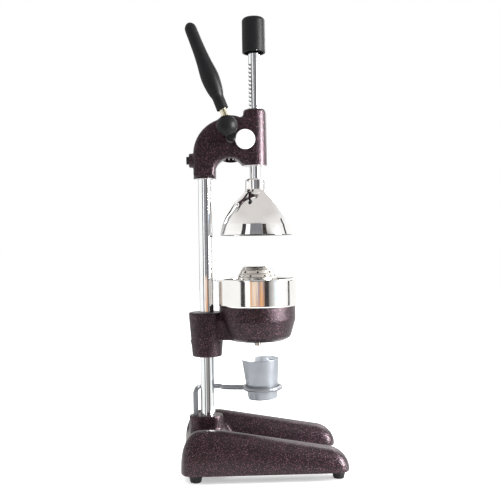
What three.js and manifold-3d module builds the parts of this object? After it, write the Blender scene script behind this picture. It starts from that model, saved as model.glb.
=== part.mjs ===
// Lever citrus juice press on a two-legged stand.
// Millimetres, +Z up, +X towards the user. The origin lies on the table, under the middle of the base.
import * as THREE from 'three';
import { mergeVertices } from 'three/addons/utils/BufferGeometryUtils.js';
import Module from 'manifold-3d';

const wasm = await Module();
wasm.setup();

// Fits
const seatGap = 0.3; // between faces that touch
const runGap = 0.4; // round a shaft that turns or slides
const overrun = 3; // how far a cut runs past a face

// Base casting
const baseLength = 244;
const baseWidth = 190;
const undersideZ = 11;
const legWidth = 50;
const legRearTopZ = 73.5;
const legFrontTopZ = 46;
const legLevelRun = 57;
const legTipRun = 27;
const legTipLip = 6;
const legRearRun = 27;
const legRearLip = 14;
const legPlanRound = 19;
const bridgeLength = 78;
const bridgeTopZ = 56;
const bridgeEndTopZ = 66;
const castingWall = 6;
const socketTopZ = 81;
const socketWidth = 32;
const socketSkirt = 9;
const socketFootZ = 52;
const socketFrontWall = 12;
const socketFloorZ = 24;

// Rubber feet
const footTopRadius = 10.5;
const footBottomRadius = 7.8;
const footEdge = 1.5;
const footBossRadius = 9;
const frontFootInset = 15;
const rearFootInset = 21;
const rearFootSpread = 72;
const frontFootSpread = 69;

// Column, set back from the rack rod by the throat
const columnRadius = 11;
const columnWall = 2;
const columnSetback = 38.8;
const throat = 78.3;

// Head casting
const sleeveRadius = 17.4;
const sleeveBottomZ = 444;
const sleeveDepth = 40;
const headHalfThickness = 18;
const headEdge = 7;
const archRadius = 22.7;
const archCentreZ = 453;
const archSetback = 39.6;
const crownRadius = 56;
const crownCentreZ = 481;
const barrelRadius = 18;
const barrelBottomZ = 464;
const barrelTopZ = 551;
const barrelEdge = 4;
const dipAngle = 68 * Math.PI / 180;
const riseHalfThickness = 11;
const footInset = 1;
const housingWall = 2.5;
const housingEdge = 5;
const clampBossRadius = 11;
const clampBossLength = 7;
const clampBossZ = 473;
const clampScrewRadius = 4;
const clampHeadRadius = 6.5;
const clampHeadLength = 3.5;

// Rack and pinion
const toothModule = 2;
const pinionTeeth = 30;
const addendum = 1.6;
const dedendum = 2;
const flankGap = 0.2;
const pressureAngle = 20 * Math.PI / 180;
const pinionZ = 506;
const pinionWidth = 16;
const chamberGap = 0.6;
const chamberSideGap = 1.5;

// Shaft, bush, cover and window plug
const shaftRadius = 5.5;
const shaftBossRadius = 7.5;
const shaftBossGap = 6;
const bushWall = 2.4;
const shaftReach = 50;
const coverInset = 0.5;
const coverEarReach = 38;
const coverEarRadius = 6;
const coverThickness = 3;
const coverHubRadius = 14;
const coverHubLength = 8;
const coverScrewHeadRadius = 3;
const coverScrewHeadHeight = 2;
const coverScrewRadius = 1.5;
const coverScrewLength = 4;
const plugRadius = 15.2;
const plugThickness = 2.4;
const plugSetback = 16;
const plugDrop = 3;
const plugStemRadius = 6;
const plugStemLength = 4;
const plugEdge = 1;

// Lever
const leverTilt = 21 * Math.PI / 180;
const ballRadius = 15.7;
const ballSetback = 6.1;
const ballRise = 12.5;
const leverRodRadius = 5.3;
const gripStart = 24.5;
const gripLength = 137;
const gripBulge = 13.6;
const leverRodShift = 2.8; // ahead of the ball's centre
const leverRodInset = 30;
const leverRodRoot = 6;

// Rack rod and its cap
const rodRadius = 9;
const rodTopZ = 680;
const rodShoulderZ = 430;
const rodSpigotRadius = 6;
const rodBottomZ = 405;
const toothedBottomZ = 482;
const toothedTopZ = 621;
const capRadius = 18;
const capBottomZ = 639;
const capTopZ = 693;
const capEdge = 5;
const capWall = 3;
const capHollow = 12;

// Press dome
const domeRimZ = 357;
const domeRimRadius = 57.6;
const domeWall = 2;
const domeNeckRadius = 16.3;
const domeNeckTopZ = 444;
const domeNeckEdge = 4;
const domeShoulderZ = 427;
const domeRoofZ = 415.5;
const nutAcross = 22;
const nutHeight = 8;

// Bowl arm
const armSleeveTopRadius = 28;
const armSleeveBottomRadius = 23;
const armSleeveTopZ = 239.5;
const armSleeveBottomZ = 172;
const armSleeveEdge = 4.5;
const bowlRadius = 58.8;
const bowlTopZ = 247;
const bowlBandZ = 227;
const bowlTaperZ = 199;
const bowlTaperRadius = 51;
const bowlBottomZ = 193;
const bowlBottomRadius = 46;
const bowlWall = 3.5;
const bowlFloor = 4;
const bowlFall = 4;
const armWebHalfWidth = 30;
const armScrewZ = 193;
const armScrewRadius = 3.5;
const armScrewProud = 1.2;
const spoutRadius = 5.4;
const spoutWall = 1.2;
const spoutBottomZ = 187.6;
const spoutFlange = 3;
const spoutFlangeThickness = 1;

// Strainer pan and reamer
const panRadius = 61;
const panFlangeRadius = 66;
const panTopZ = 290;
const panWall = 1;
const panCorner = 3;
const panLipDrop = 2.5;
const panCatchRadius = 54.5;
const panCatchDrop = 8;
const drainRadius = 37;
const reamerTopZ = 308.5;
const reamerTopRadius = 21.5;
const reamerWaistZ = 291;
const reamerWaistRadius = 31;
const reamerFootRadius = 40;
const reamerWall = 1;
const reamerSeat = 6;
const reamerHoleRadius = 1.5;
const reamerStepDepth = 0.8;
const reamerRing = 5.6;
const reamerRows = 4;
const reamerHolesPerRow = 8;

// Cup holder and drip cup
const postSetback = 19;
const postRadius = 4;
const postFootZ = 56;
const armRodRadius = 3.5;
const armRodZ = 121.5;
const armBypass = 19;
const armBend = 9;
const ringCentreAhead = 5.9;
const ringRodRadius = 3.3;
const ringTabHeight = 7.4;
const ringTabThickness = 4;
const ringTabLength = 30;
const cupTopRadius = 28.7;
const cupBottomRadius = 22.5;
const cupHeight = 61;
const cupBottomZ = 104.5;
const cupWall = 1.6;
const cupFloor = 2;
const cupLean = 3 * Math.PI / 180;

// Facet counts
const roundSides = 28;
const rodSides = 16;
const smallSides = 10;
const holeSides = 5;
const hexSides = 6;

// Places worked out from the sizes
const columnX = -baseLength / 2 + columnSetback;
const rodX = columnX + throat;
const archX = rodX - archSetback;
const pinionRadius = toothModule * pinionTeeth / 2;
const toothPitch = Math.PI * toothModule;
const pinionX = rodX - rodRadius + addendum - pinionRadius;
const chamberRadius = pinionRadius + addendum + chamberGap;
const housingRadius = chamberRadius + housingWall;
const chamberHalfWidth = pinionWidth / 2 + chamberSideGap;
const postX = columnX - postSetback;
const legSpread = (baseWidth - legWidth) / 2;
const ringX = rodX + ringCentreAhead;
const panBottomZ = bowlTopZ + seatGap;
const panFloorZ = panBottomZ + panWall;

// Finishes
const finishes = {
  hammered: { color: 0x2a1620, roughness: 0.35, metalness: 0.4 },
  chrome: { color: 0xd8dadc, roughness: 0.08, metalness: 1 },
  stainless: { color: 0xc4c4c2, roughness: 0.2, metalness: 1 },
  steel: { color: 0x9a9a98, roughness: 0.35, metalness: 1 },
  blackPlastic: { color: 0x1c1c1e, roughness: 0.45, metalness: 0 },
  rubber: { color: 0x141414, roughness: 0.8, metalness: 0 },
  nickel: { color: 0xc9c2a4, roughness: 0.25, metalness: 1 },
  whitePlastic: { color: 0xf2f4f4, roughness: 0.4, metalness: 0 },
  greyPaint: { color: 0x8a8b8f, roughness: 0.4, metalness: 0.5 },
  silverPlastic: { color: 0xa9abaf, roughness: 0.4, metalness: 0.4 },
};

// Booleans

function toSolid(geometry) {
  const bare = geometry.clone();
  bare.deleteAttribute('normal');
  bare.deleteAttribute('uv');
  const merged = mergeVertices(bare);
  const vertProperties = new Float32Array(merged.attributes.position.array);
  const triVerts = new Uint32Array(openTriangles(merged.index.array));
  if (signedVolume(vertProperties, triVerts) < 0) flip(triVerts);
  const mesh = new wasm.Mesh({ numProp: 3, vertProperties, triVerts });
  return new wasm.Manifold(mesh);
}

// Triangles left after the ones that a merge has closed to a line are dropped.
function openTriangles(index) {
  const kept = [];
  for (let i = 0; i < index.length; i += 3) {
    const [a, b, c] = [index[i], index[i + 1], index[i + 2]];
    if (a !== b && b !== c && c !== a) kept.push(a, b, c);
  }
  return kept;
}

function signedVolume(points, triangles) {
  let sum = 0;
  const [a, b, c] = [new THREE.Vector3(), new THREE.Vector3(), new THREE.Vector3()];
  for (let i = 0; i < triangles.length; i += 3) {
    a.fromArray(points, 3 * triangles[i]);
    b.fromArray(points, 3 * triangles[i + 1]);
    c.fromArray(points, 3 * triangles[i + 2]);
    sum += a.dot(b.cross(c));
  }
  return sum / 6;
}

function flip(triangles) {
  for (let i = 0; i < triangles.length; i += 3) {
    const first = triangles[i];
    triangles[i] = triangles[i + 1];
    triangles[i + 1] = first;
  }
}

function toGeometry(solid) {
  const mesh = solid.getMesh();
  const geometry = new THREE.BufferGeometry();
  geometry.setAttribute('position', new THREE.BufferAttribute(new Float32Array(mesh.vertProperties), 3));
  geometry.setIndex(new THREE.BufferAttribute(new Uint32Array(mesh.triVerts), 1));
  geometry.computeVertexNormals();
  return geometry;
}

function join(geometries) {
  return geometries.map(toSolid).reduce((sum, solid) => sum.add(solid));
}

function cut(solid, geometries) {
  return geometries.map(toSolid).reduce((left, tool) => left.subtract(tool), solid);
}

// Shapes

// A revolved body about an upright axis at x, y, from [radius, z] pairs.
function revolve(profile, x = 0, y = 0, sides = roundSides) {
  const points = profile.map(([radius, z]) => new THREE.Vector2(radius, z));
  if (profile[0][0] > 0) points.push(points[0].clone());
  const geometry = new THREE.LatheGeometry(points, sides);
  geometry.rotateX(Math.PI / 2);
  geometry.translate(x, y, 0);
  return geometry;
}

// A round bar between two heights.
function upright(radius, x, y, fromZ, toZ, sides = rodSides) {
  return revolve([[0, fromZ], [radius, fromZ], [radius, toZ], [0, toZ]], x, y, sides);
}

// A revolved body about an axis along Y through x, z, from [radius, y] pairs.
function revolveAcross(profile, x, z, sides = rodSides) {
  const geometry = revolve(profile, 0, 0, sides);
  geometry.rotateX(-Math.PI / 2);
  geometry.translate(x, 0, z);
  return geometry;
}

// A round bar along Y between two places.
function crossBar(radius, x, z, fromY, toY, sides = rodSides) {
  return revolveAcross([[0, fromY], [radius, fromY], [radius, toY], [0, toY]], x, z, sides);
}

// A round bar along X between two places.
function lengthwiseBar(radius, y, z, fromX, toX, sides = smallSides) {
  const geometry = upright(radius, 0, 0, fromX, toX, sides);
  geometry.rotateY(Math.PI / 2);
  geometry.translate(0, y, z);
  return geometry;
}

// Points of a quarter round, from one angle to another, as [radius, z] pairs.
function roundEdge(centreRadius, centreZ, radius, fromAngle, toAngle, steps = 2) {
  return Array.from({ length: steps + 1 }, (_, i) => {
    const angle = fromAngle + (toAngle - fromAngle) * i / steps;
    return [centreRadius + radius * Math.cos(angle), centreZ + radius * Math.sin(angle)];
  });
}

// A closed body through rings of the same number of points, with flat or pointed ends.
function loft(rings) {
  const count = rings[0].length;
  const points = rings.flat();
  const triangles = [];
  for (let ring = 0; ring < rings.length - 1; ring++) {
    for (let i = 0; i < count; i++) {
      const a = ring * count + i;
      const b = ring * count + (i + 1) % count;
      triangles.push(a, b, b + count, a, b + count, a + count);
    }
  }
  const ends = [[0, true], [rings.length - 1, false]];
  for (const [ring, isFirst] of ends) {
    const centre = new THREE.Vector3();
    rings[ring].forEach((point) => centre.addScaledVector(point, 1 / count));
    const middle = points.push(centre) - 1;
    for (let i = 0; i < count; i++) {
      const a = ring * count + i;
      const b = ring * count + (i + 1) % count;
      triangles.push(middle, isFirst ? b : a, isFirst ? a : b);
    }
  }
  const geometry = new THREE.BufferGeometry().setFromPoints(points);
  geometry.setIndex(triangles);
  geometry.computeVertexNormals();
  return geometry;
}

// Half of a rounded arch over a flat foot, as [across, up] pairs from one foot to the other.
const archExponent = 2.5;
const archSteps = 10;
function archSection(halfWidth, height) {
  return Array.from({ length: archSteps + 1 }, (_, i) => {
    const angle = Math.PI * i / archSteps;
    const across = Math.sign(Math.cos(angle)) * Math.abs(Math.cos(angle)) ** (2 / archExponent);
    const up = Math.sin(angle) ** (2 / archExponent);
    return [halfWidth * across, height * (i === archSteps ? 0 : up)];
  });
}

// How full a rounded end is at a distance from its tip: 0 at the tip and 1 past the run.
function fullness(distance, run) {
  const left = Math.max(0, 1 - distance / run);
  return Math.sqrt(1 - left * left);
}

// Base

// One leg: arched sections along X, level at the rear and falling to the front tip.
const legStations = 16;
const hollowStations = 6;
const tipShare = 0.006;
function legBody(side, inset) {
  const rear = -baseLength / 2 + inset;
  const front = baseLength / 2 - inset;
  const rings = [];
  const stations = inset ? hollowStations : legStations;
  for (let i = 0; i <= stations; i++) {
    const share = (1 - Math.cos(Math.PI * (tipShare + (1 - 2 * tipShare) * i / stations))) / 2;
    const x = rear + (front - rear) * share;
    const fall = Math.max(0, x - (-baseLength / 2 + legLevelRun)) / (baseLength - legLevelRun - legTipRun);
    const ridge = legRearTopZ - (legRearTopZ - legFrontTopZ) * fall - inset;
    const rearFill = fullness(x - rear, legRearRun);
    const tipFill = fullness(front - x, legTipRun);
    const lip = x < 0 ? legRearLip : legTipLip;
    const height = lip + (ridge - undersideZ - lip) * Math.min(rearFill, tipFill);
    const plan = Math.min(fullness(x - rear, legPlanRound), fullness(front - x, legPlanRound));
    const halfWidth = legWidth / 2 - inset - legPlanRound * (1 - plan);
    rings.push(archSection(halfWidth, height)
      .map(([across, up]) => new THREE.Vector3(x, side * legSpread + across, undersideZ + up)));
  }
  return loft(rings);
}

// The saddle that joins the legs at the rear, lowest in the middle.
const bridgeStations = 6;
function bridgeBody(inset) {
  const halfLength = bridgeLength / 2 - inset;
  const middleX = -baseLength / 2 + bridgeLength / 2;
  const rings = [];
  for (let i = 0; i <= bridgeStations; i++) {
    const share = 2 * i / bridgeStations - 1;
    const topZ = bridgeTopZ + (bridgeEndTopZ - bridgeTopZ) * share * share - inset;
    rings.push(archSection(halfLength, topZ - undersideZ)
      .map(([across, up]) => new THREE.Vector3(middleX + across, share * legSpread, undersideZ + up)));
  }
  return loft(rings);
}

// The column socket: an upright obround with a flared skirt that blends into the saddle.
const skirtSteps = 4;
const obroundSteps = 8;
function socketBody() {
  const front = columnX + columnRadius + socketFrontWall;
  const rear = postX - postRadius - socketFrontWall / 2;
  const radius = socketWidth / 2;
  const levels = [];
  for (let i = 0; i <= skirtSteps; i++) {
    const angle = Math.PI / 2 * i / skirtSteps;
    levels.push([socketFootZ + socketSkirt * Math.sin(angle), socketSkirt * (1 - Math.cos(Math.PI / 2 - angle))]);
  }
  levels.unshift([socketFootZ - socketSkirt, levels[0][1]]);
  levels.push([socketTopZ, 0]);
  return loft(levels.map(([z, flare]) => {
    const ring = [];
    for (const [centre, turn] of [[front - radius, -Math.PI / 2], [rear + radius, Math.PI / 2]]) {
      for (let i = 0; i <= obroundSteps; i++) {
        const angle = turn + Math.PI * i / obroundSteps;
        const reach = radius + flare * (centre < columnX - radius / 2 ? 0 : 1);
        ring.push(new THREE.Vector3(centre + reach * Math.cos(angle), (radius + flare) * Math.sin(angle), z));
      }
    }
    return ring;
  }));
}

const footPlaces = [];
for (const [end, x, spread] of [
  ['front', baseLength / 2 - frontFootInset, frontFootSpread],
  ['rear', -baseLength / 2 + rearFootInset, rearFootSpread],
]) {
  for (const [name, side] of [['near', -1], ['far', 1]]) footPlaces.push([`foot_${end}_${name}`, x, side * spread]);
}

function makeBase() {
  const outside = join([legBody(-1, 0), legBody(1, 0), bridgeBody(0), socketBody()]);
  const hollow = join([legBody(-1, castingWall), legBody(1, castingWall), bridgeBody(castingWall)]);
  const bosses = footPlaces.map(([, x, y]) => upright(footBossRadius, x, y, 0, legRearTopZ, smallSides));
  const stem = upright(columnRadius + castingWall, columnX, 0, 0, socketTopZ);
  const postStem = upright(postRadius + castingWall, postX, 0, 0, socketTopZ);
  const cavity = cut(hollow, [...bosses, stem, postStem]);
  const open = cavity.add(cavity.translate([0, 0, -overrun]));
  return cut(outside.subtract(open), [
    upright(columnRadius + seatGap, columnX, 0, socketFloorZ, socketTopZ + overrun),
    upright(postRadius + runGap, postX, 0, postFootZ - seatGap, socketTopZ + overrun, smallSides),
  ]);
}

function makeFoot(x, y) {
  const top = undersideZ - seatGap;
  return revolve([
    [0, 0], [footBottomRadius - footEdge, 0], [footBottomRadius, footEdge],
    [footTopRadius, top - footEdge], [footTopRadius - footEdge / 2, top], [0, top],
  ], x, y, rodSides);
}

function makeColumn() {
  const bottom = socketFloorZ + seatGap;
  const top = sleeveBottomZ + sleeveDepth - seatGap;
  return revolve([
    [columnRadius - columnWall, bottom], [columnRadius, bottom],
    [columnRadius, top], [columnRadius - columnWall, top],
  ], columnX, 0, rodSides);
}

// Head

// The side outline of the head, with the space below the arch still filled.
function headOutline() {
  const shape = new THREE.Shape();
  const rearX = archX - crownRadius;
  const right = rodX + headEdge;
  const dipX = pinionX + housingRadius * Math.cos(dipAngle);
  const dipZ = pinionZ + housingRadius * Math.sin(dipAngle);
  const barrelFoot = barrelBottomZ + footInset;
  const sleeveFoot = sleeveBottomZ + footInset;
  shape.moveTo(rearX, sleeveFoot);
  shape.lineTo(rearX, crownCentreZ - footInset);
  shape.absarc(archX, crownCentreZ, crownRadius, Math.PI, Math.PI / 2, true);
  shape.lineTo(dipX, dipZ);
  shape.lineTo(right, dipZ);
  shape.lineTo(right, barrelFoot);
  shape.lineTo(archX, barrelFoot);
  shape.lineTo(archX, sleeveFoot);
  shape.closePath();
  return shape;
}

// The hollow rise from the crown to the top of the barrel.
function headRise() {
  const dipX = pinionX + housingRadius * Math.cos(dipAngle);
  const dipZ = pinionZ + housingRadius * Math.sin(dipAngle);
  const barrelRear = rodX - barrelRadius;
  const shape = new THREE.Shape();
  shape.moveTo(dipX, dipZ - headEdge);
  shape.lineTo(dipX, dipZ);
  shape.quadraticCurveTo(barrelRear, dipZ, barrelRear + barrelEdge / 2, barrelTopZ - barrelEdge);
  shape.lineTo(rodX, barrelTopZ - barrelEdge);
  shape.lineTo(rodX, dipZ - headEdge);
  shape.closePath();
  const rise = new THREE.ExtrudeGeometry(shape, { depth: 2 * riseHalfThickness, bevelEnabled: false, curveSegments: 8 });
  rise.translate(0, 0, -riseHalfThickness);
  rise.rotateX(Math.PI / 2);
  return rise;
}

function makeHead() {
  const web = new THREE.ExtrudeGeometry(headOutline(), {
    depth: 2 * (headHalfThickness - headEdge),
    bevelEnabled: true, bevelSize: headEdge, bevelThickness: headEdge, bevelOffset: -headEdge,
    bevelSegments: 4, curveSegments: 20,
  });
  web.translate(0, 0, -(headHalfThickness - headEdge));
  web.rotateX(Math.PI / 2);
  const sleeve = upright(sleeveRadius, columnX, 0, sleeveBottomZ, crownCentreZ, roundSides);
  const barrel = revolve([
    [0, barrelBottomZ], [barrelRadius, barrelBottomZ],
    ...roundEdge(barrelRadius - barrelEdge, barrelTopZ - barrelEdge, barrelEdge, 0, Math.PI / 2),
    [0, barrelTopZ],
  ], rodX);
  const half = headHalfThickness;
  const housing = revolveAcross([
    [0, -half], ...roundEdge(housingRadius - housingEdge, housingEdge - half, housingEdge, -Math.PI / 2, 0),
    [housingRadius, half], [0, half],
  ], pinionX, pinionZ, roundSides);
  const bossEnd = archX - crownRadius - clampBossLength;
  const boss = lengthwiseBar(clampBossRadius, 0, clampBossZ, bossEnd, columnX, rodSides);
  const flare = archRadius + headEdge;
  const archVoid = revolveAcross([
    [0, -half - overrun], [flare, -half - overrun],
    ...roundEdge(flare, headEdge - half, headEdge, -Math.PI / 2, -Math.PI),
    ...roundEdge(flare, half - headEdge, headEdge, Math.PI, Math.PI / 2),
    [flare, half + overrun], [0, half + overrun],
  ], archX, archCentreZ, roundSides);
  return cut(join([web, headRise(), sleeve, barrel, housing, boss]), [
    archVoid,
    upright(columnRadius + seatGap, columnX, 0, sleeveBottomZ - overrun, sleeveBottomZ + sleeveDepth),
    upright(rodRadius + runGap, rodX, 0, barrelBottomZ - overrun, barrelTopZ + overrun),
    crossBar(chamberRadius, pinionX, pinionZ, -chamberHalfWidth, half + overrun, roundSides),
    crossBar(shaftRadius + runGap + bushWall + seatGap, pinionX, pinionZ, -half - overrun, 0),
    lengthwiseBar(clampScrewRadius + seatGap, 0, clampBossZ, bossEnd - overrun, columnX),
    crossBar(plugStemRadius + seatGap, plugX, plugZ, -half - overrun, -half + plugStemLength + seatGap, smallSides),
    ...coverScrewPlaces.map(([x, z]) => crossBar(coverScrewRadius + seatGap, x, z,
      half - coverScrewLength - seatGap, half + overrun, smallSides)),
  ]);
}

const plugX = rodX - plugSetback;
const plugZ = pinionZ - plugDrop;
const coverRadius = housingRadius - coverInset;
const coverScrewPlaces = [-1, 1].map((side) => [pinionX + side * coverEarReach, pinionZ]);

function makeHeadScrew() {
  const outer = archX - crownRadius - clampBossLength - seatGap;
  const tip = columnX - columnRadius - 2 * seatGap;
  return join([
    lengthwiseBar(clampScrewRadius, 0, clampBossZ, outer - clampHeadLength / 2, tip),
    lengthwiseBar(clampHeadRadius, 0, clampBossZ, outer - clampHeadLength, outer, hexSides),
  ]);
}

function makeCover() {
  const face = headHalfThickness + seatGap;
  const shaftEnd = headHalfThickness + coverHubLength - coverThickness;
  const hub = revolveAcross([
    [0, face], [coverRadius, face], [coverRadius, face + coverThickness - plugEdge],
    [coverRadius - plugEdge, face + coverThickness],
    [coverHubRadius, face + coverThickness], [coverHubRadius - plugEdge, face + coverHubLength],
    [0, face + coverHubLength],
  ], pinionX, pinionZ, roundSides);
  const bar = new THREE.BoxGeometry(2 * coverEarReach, coverThickness - plugEdge, 2 * coverEarRadius);
  bar.translate(pinionX, face + (coverThickness - plugEdge) / 2, pinionZ);
  const ears = coverScrewPlaces.map(([x, z]) =>
    crossBar(coverEarRadius, x, z, face, face + coverThickness - plugEdge));
  return cut(join([hub, bar, ...ears]), [
    crossBar(shaftRadius + runGap, pinionX, pinionZ, face - overrun, shaftEnd + seatGap),
    ...coverScrewPlaces.map(([x, z]) => crossBar(coverScrewRadius + seatGap, x, z,
      face - overrun, face + coverThickness + overrun, smallSides)),
  ]);
}

function makeCoverScrew(x, z) {
  const face = headHalfThickness + coverThickness - plugEdge + 2 * seatGap;
  const radius = coverScrewHeadRadius;
  return toSolid(revolveAcross([
    [0, headHalfThickness - coverScrewLength], [coverScrewRadius, headHalfThickness - coverScrewLength],
    [coverScrewRadius, face], [radius, face], [radius, face + coverScrewHeadHeight / 2],
    [radius / 2, face + coverScrewHeadHeight], [0, face + coverScrewHeadHeight],
  ], x, z, smallSides));
}

function makeBush() {
  const inner = shaftRadius + runGap;
  const outer = inner + bushWall;
  return revolveAcross([
    [inner, -chamberHalfWidth], [outer, -chamberHalfWidth],
    [outer, -headHalfThickness], [inner, -headHalfThickness],
  ], pinionX, pinionZ);
}

function makePlug() {
  const face = -headHalfThickness - seatGap;
  return revolveAcross([
    [0, face + plugStemLength], [plugStemRadius, face + plugStemLength], [plugStemRadius, face],
    [plugRadius, face], [plugRadius, face - plugThickness + plugEdge],
    [plugRadius - plugEdge, face - plugThickness], [0, face - plugThickness],
  ], plugX, plugZ, roundSides);
}

// Rack and pinion

// Half the angle that a pinion tooth spans at a radius, by the involute of its base circle.
function toothHalfAngle(radius) {
  const base = pinionRadius * Math.cos(pressureAngle);
  const involute = (angle) => Math.tan(angle) - angle;
  const here = Math.acos(Math.min(1, base / radius));
  return (toothPitch / 4 - flankGap) / pinionRadius + involute(pressureAngle) - involute(here);
}

const flankShares = [0, 0.35, 0.7, 1];
function makePinion() {
  const root = pinionRadius - dedendum;
  const tip = pinionRadius + addendum;
  const outline = [];
  for (let tooth = 0; tooth < pinionTeeth; tooth++) {
    const centre = 2 * Math.PI * tooth / pinionTeeth;
    const rising = flankShares.map((share) => root + (tip - root) * share);
    for (const [radii, side] of [[rising, -1], [[...rising].reverse(), 1]]) {
      for (const radius of radii) {
        const angle = centre + side * toothHalfAngle(radius);
        outline.push(new THREE.Vector2(radius * Math.cos(angle), radius * Math.sin(angle)));
      }
    }
  }
  const wheel = new THREE.ExtrudeGeometry(new THREE.Shape(outline), { depth: pinionWidth, bevelEnabled: false });
  wheel.translate(0, 0, -pinionWidth / 2);
  wheel.rotateX(Math.PI / 2);
  wheel.translate(pinionX, 0, pinionZ);
  const bore = crossBar(shaftRadius + seatGap, pinionX, pinionZ, -pinionWidth, pinionWidth);
  return cut(toSolid(wheel), [bore]);
}

function makeShaft() {
  const farEnd = headHalfThickness + coverHubLength - coverThickness;
  const bossStart = -headHalfThickness - shaftBossGap;
  return revolveAcross([
    [0, farEnd], [shaftRadius, farEnd], [shaftRadius, bossStart],
    [shaftBossRadius, bossStart], [shaftBossRadius, -shaftReach], [0, -shaftReach],
  ], pinionX, pinionZ, roundSides);
}

// The gap between two rack teeth, as a prism across the rod.
function rackGap(z) {
  const pitchX = rodX - rodRadius + addendum;
  const half = toothPitch / 4 + flankGap;
  const slope = Math.tan(pressureAngle);
  const outer = addendum + overrun;
  const shape = new THREE.Shape([
    new THREE.Vector2(pitchX - outer, z - half - outer * slope),
    new THREE.Vector2(pitchX + dedendum, z - half + dedendum * slope),
    new THREE.Vector2(pitchX + dedendum, z + half - dedendum * slope),
    new THREE.Vector2(pitchX - outer, z + half + outer * slope),
  ]);
  const prism = new THREE.ExtrudeGeometry(shape, { depth: 2 * (rodRadius + overrun), bevelEnabled: false });
  prism.translate(0, 0, -rodRadius - overrun);
  prism.rotateX(Math.PI / 2);
  return prism;
}

function makeRackRod() {
  const body = revolve([
    [0, rodBottomZ], [rodSpigotRadius, rodBottomZ], [rodSpigotRadius, rodShoulderZ],
    [rodRadius, rodShoulderZ], [rodRadius, rodTopZ], [0, rodTopZ],
  ], rodX, 0, rodSides);
  const gaps = [];
  const below = Math.floor((pinionZ - toothedBottomZ) / toothPitch);
  const above = Math.floor((toothedTopZ - pinionZ) / toothPitch);
  for (let i = -below; i <= above; i++) gaps.push(rackGap(pinionZ + i * toothPitch));
  return cut(toSolid(body), gaps);
}

function makeCap() {
  return revolve([
    [rodRadius + seatGap, capBottomZ + capHollow], [capRadius - capWall, capBottomZ + capHollow],
    [capRadius - capWall, capBottomZ], [capRadius, capBottomZ],
    ...roundEdge(capRadius - capEdge, capTopZ - capEdge, capEdge, 0, Math.PI / 2),
    [0, capTopZ], [0, rodTopZ + seatGap], [rodRadius + seatGap, rodTopZ + seatGap],
  ], rodX);
}

// The dome's outer profile: shares of the rim radius and of the height from rim to shoulder.
const domeShares = [[1, 0], [0.998, 0.025], [0.984, 0.086], [0.922, 0.271], [0.842, 0.429], [0.726, 0.586],
  [0.59, 0.743], [0.431, 0.871], [0.33, 0.95]];
function makeDome() {
  const height = domeShoulderZ - domeRimZ;
  const outer = domeShares.map(([across, up]) => [domeRimRadius * across, domeRimZ + height * up]);
  const inner = domeShares.filter((_, i) => i % 2 === 0)
    .map(([across, up]) => [domeRimRadius * across - domeWall, domeRimZ + height * up])
    .filter(([, z]) => z < domeRoofZ - domeWall);
  const last = outer[outer.length - 3];
  return revolve([
    [rodSpigotRadius + seatGap, domeRoofZ], [last[0] - 2 * domeWall, domeRoofZ],
    ...inner.reverse(), ...outer,
    [domeNeckRadius, domeShoulderZ],
    ...roundEdge(domeNeckRadius - domeNeckEdge, domeNeckTopZ - domeNeckEdge, domeNeckEdge, 0, Math.PI / 2),
    [rodRadius + seatGap, domeNeckTopZ], [rodRadius + seatGap, rodShoulderZ - seatGap],
    [rodSpigotRadius + seatGap, rodShoulderZ - seatGap],
  ], rodX);
}

function makeDomeNut() {
  const top = domeRoofZ - seatGap;
  const radius = nutAcross / 2 / Math.cos(Math.PI / hexSides);
  const hexagon = upright(radius, rodX, 0, top - nutHeight, top, hexSides);
  return cut(toSolid(hexagon), [
    upright(rodSpigotRadius + seatGap, rodX, 0, top - nutHeight - overrun, top + overrun),
  ]);
}

// Bowl arm and strainer

function makeBowlArm() {
  const sleeve = revolve([
    [0, armSleeveBottomZ], [armSleeveBottomRadius - armSleeveEdge, armSleeveBottomZ],
    ...roundEdge(armSleeveBottomRadius - armSleeveEdge, armSleeveBottomZ + armSleeveEdge, armSleeveEdge,
      -Math.PI / 2, 0),
    [armSleeveTopRadius, armSleeveTopZ - armSleeveEdge / 2],
    [armSleeveTopRadius - armSleeveEdge / 2, armSleeveTopZ], [0, armSleeveTopZ],
  ], columnX);
  const bowl = revolve([
    [0, bowlBottomZ], [bowlBottomRadius, bowlBottomZ], [bowlTaperRadius, bowlTaperZ],
    [bowlRadius, bowlBandZ], [bowlRadius, bowlTopZ], [0, bowlTopZ],
  ], rodX);
  const web = loft([armSleeveTopRadius, armSleeveTopRadius + armSleeveEdge * 3].map((reach, i) =>
    [[-1, 0], [1, 0], [1, 1], [-1, 1]].map(([side, up]) => new THREE.Vector3(
      columnX + reach * (i ? 1 : 1 / 3),
      side * (i ? armWebHalfWidth : armSleeveBottomRadius - armSleeveEdge),
      up ? bowlBandZ : bowlBottomZ + armSleeveEdge))));
  const inner = bowlRadius - bowlWall;
  const inside = revolve([
    [0, bowlBottomZ + bowlFloor], [spoutRadius + spoutFlange * 2, bowlBottomZ + bowlFloor],
    [bowlBottomRadius - bowlWall, bowlBottomZ + bowlFloor + bowlFall],
    [bowlTaperRadius - bowlWall, bowlTaperZ + bowlFloor + bowlFall],
    [inner, bowlBandZ], [inner, bowlTopZ + overrun], [0, bowlTopZ + overrun],
  ], rodX);
  const rear = columnX - armSleeveTopRadius;
  return cut(join([sleeve, bowl, web]), [
    inside,
    upright(columnRadius + seatGap, columnX, 0, armSleeveBottomZ - overrun, bowlTopZ + overrun),
    upright(spoutRadius + seatGap, rodX, 0, bowlBottomZ - overrun, bowlBottomZ + bowlFloor + overrun, smallSides),
    lengthwiseBar(armScrewRadius + seatGap, 0, armScrewZ, rear - overrun, columnX),
  ]);
}

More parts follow.
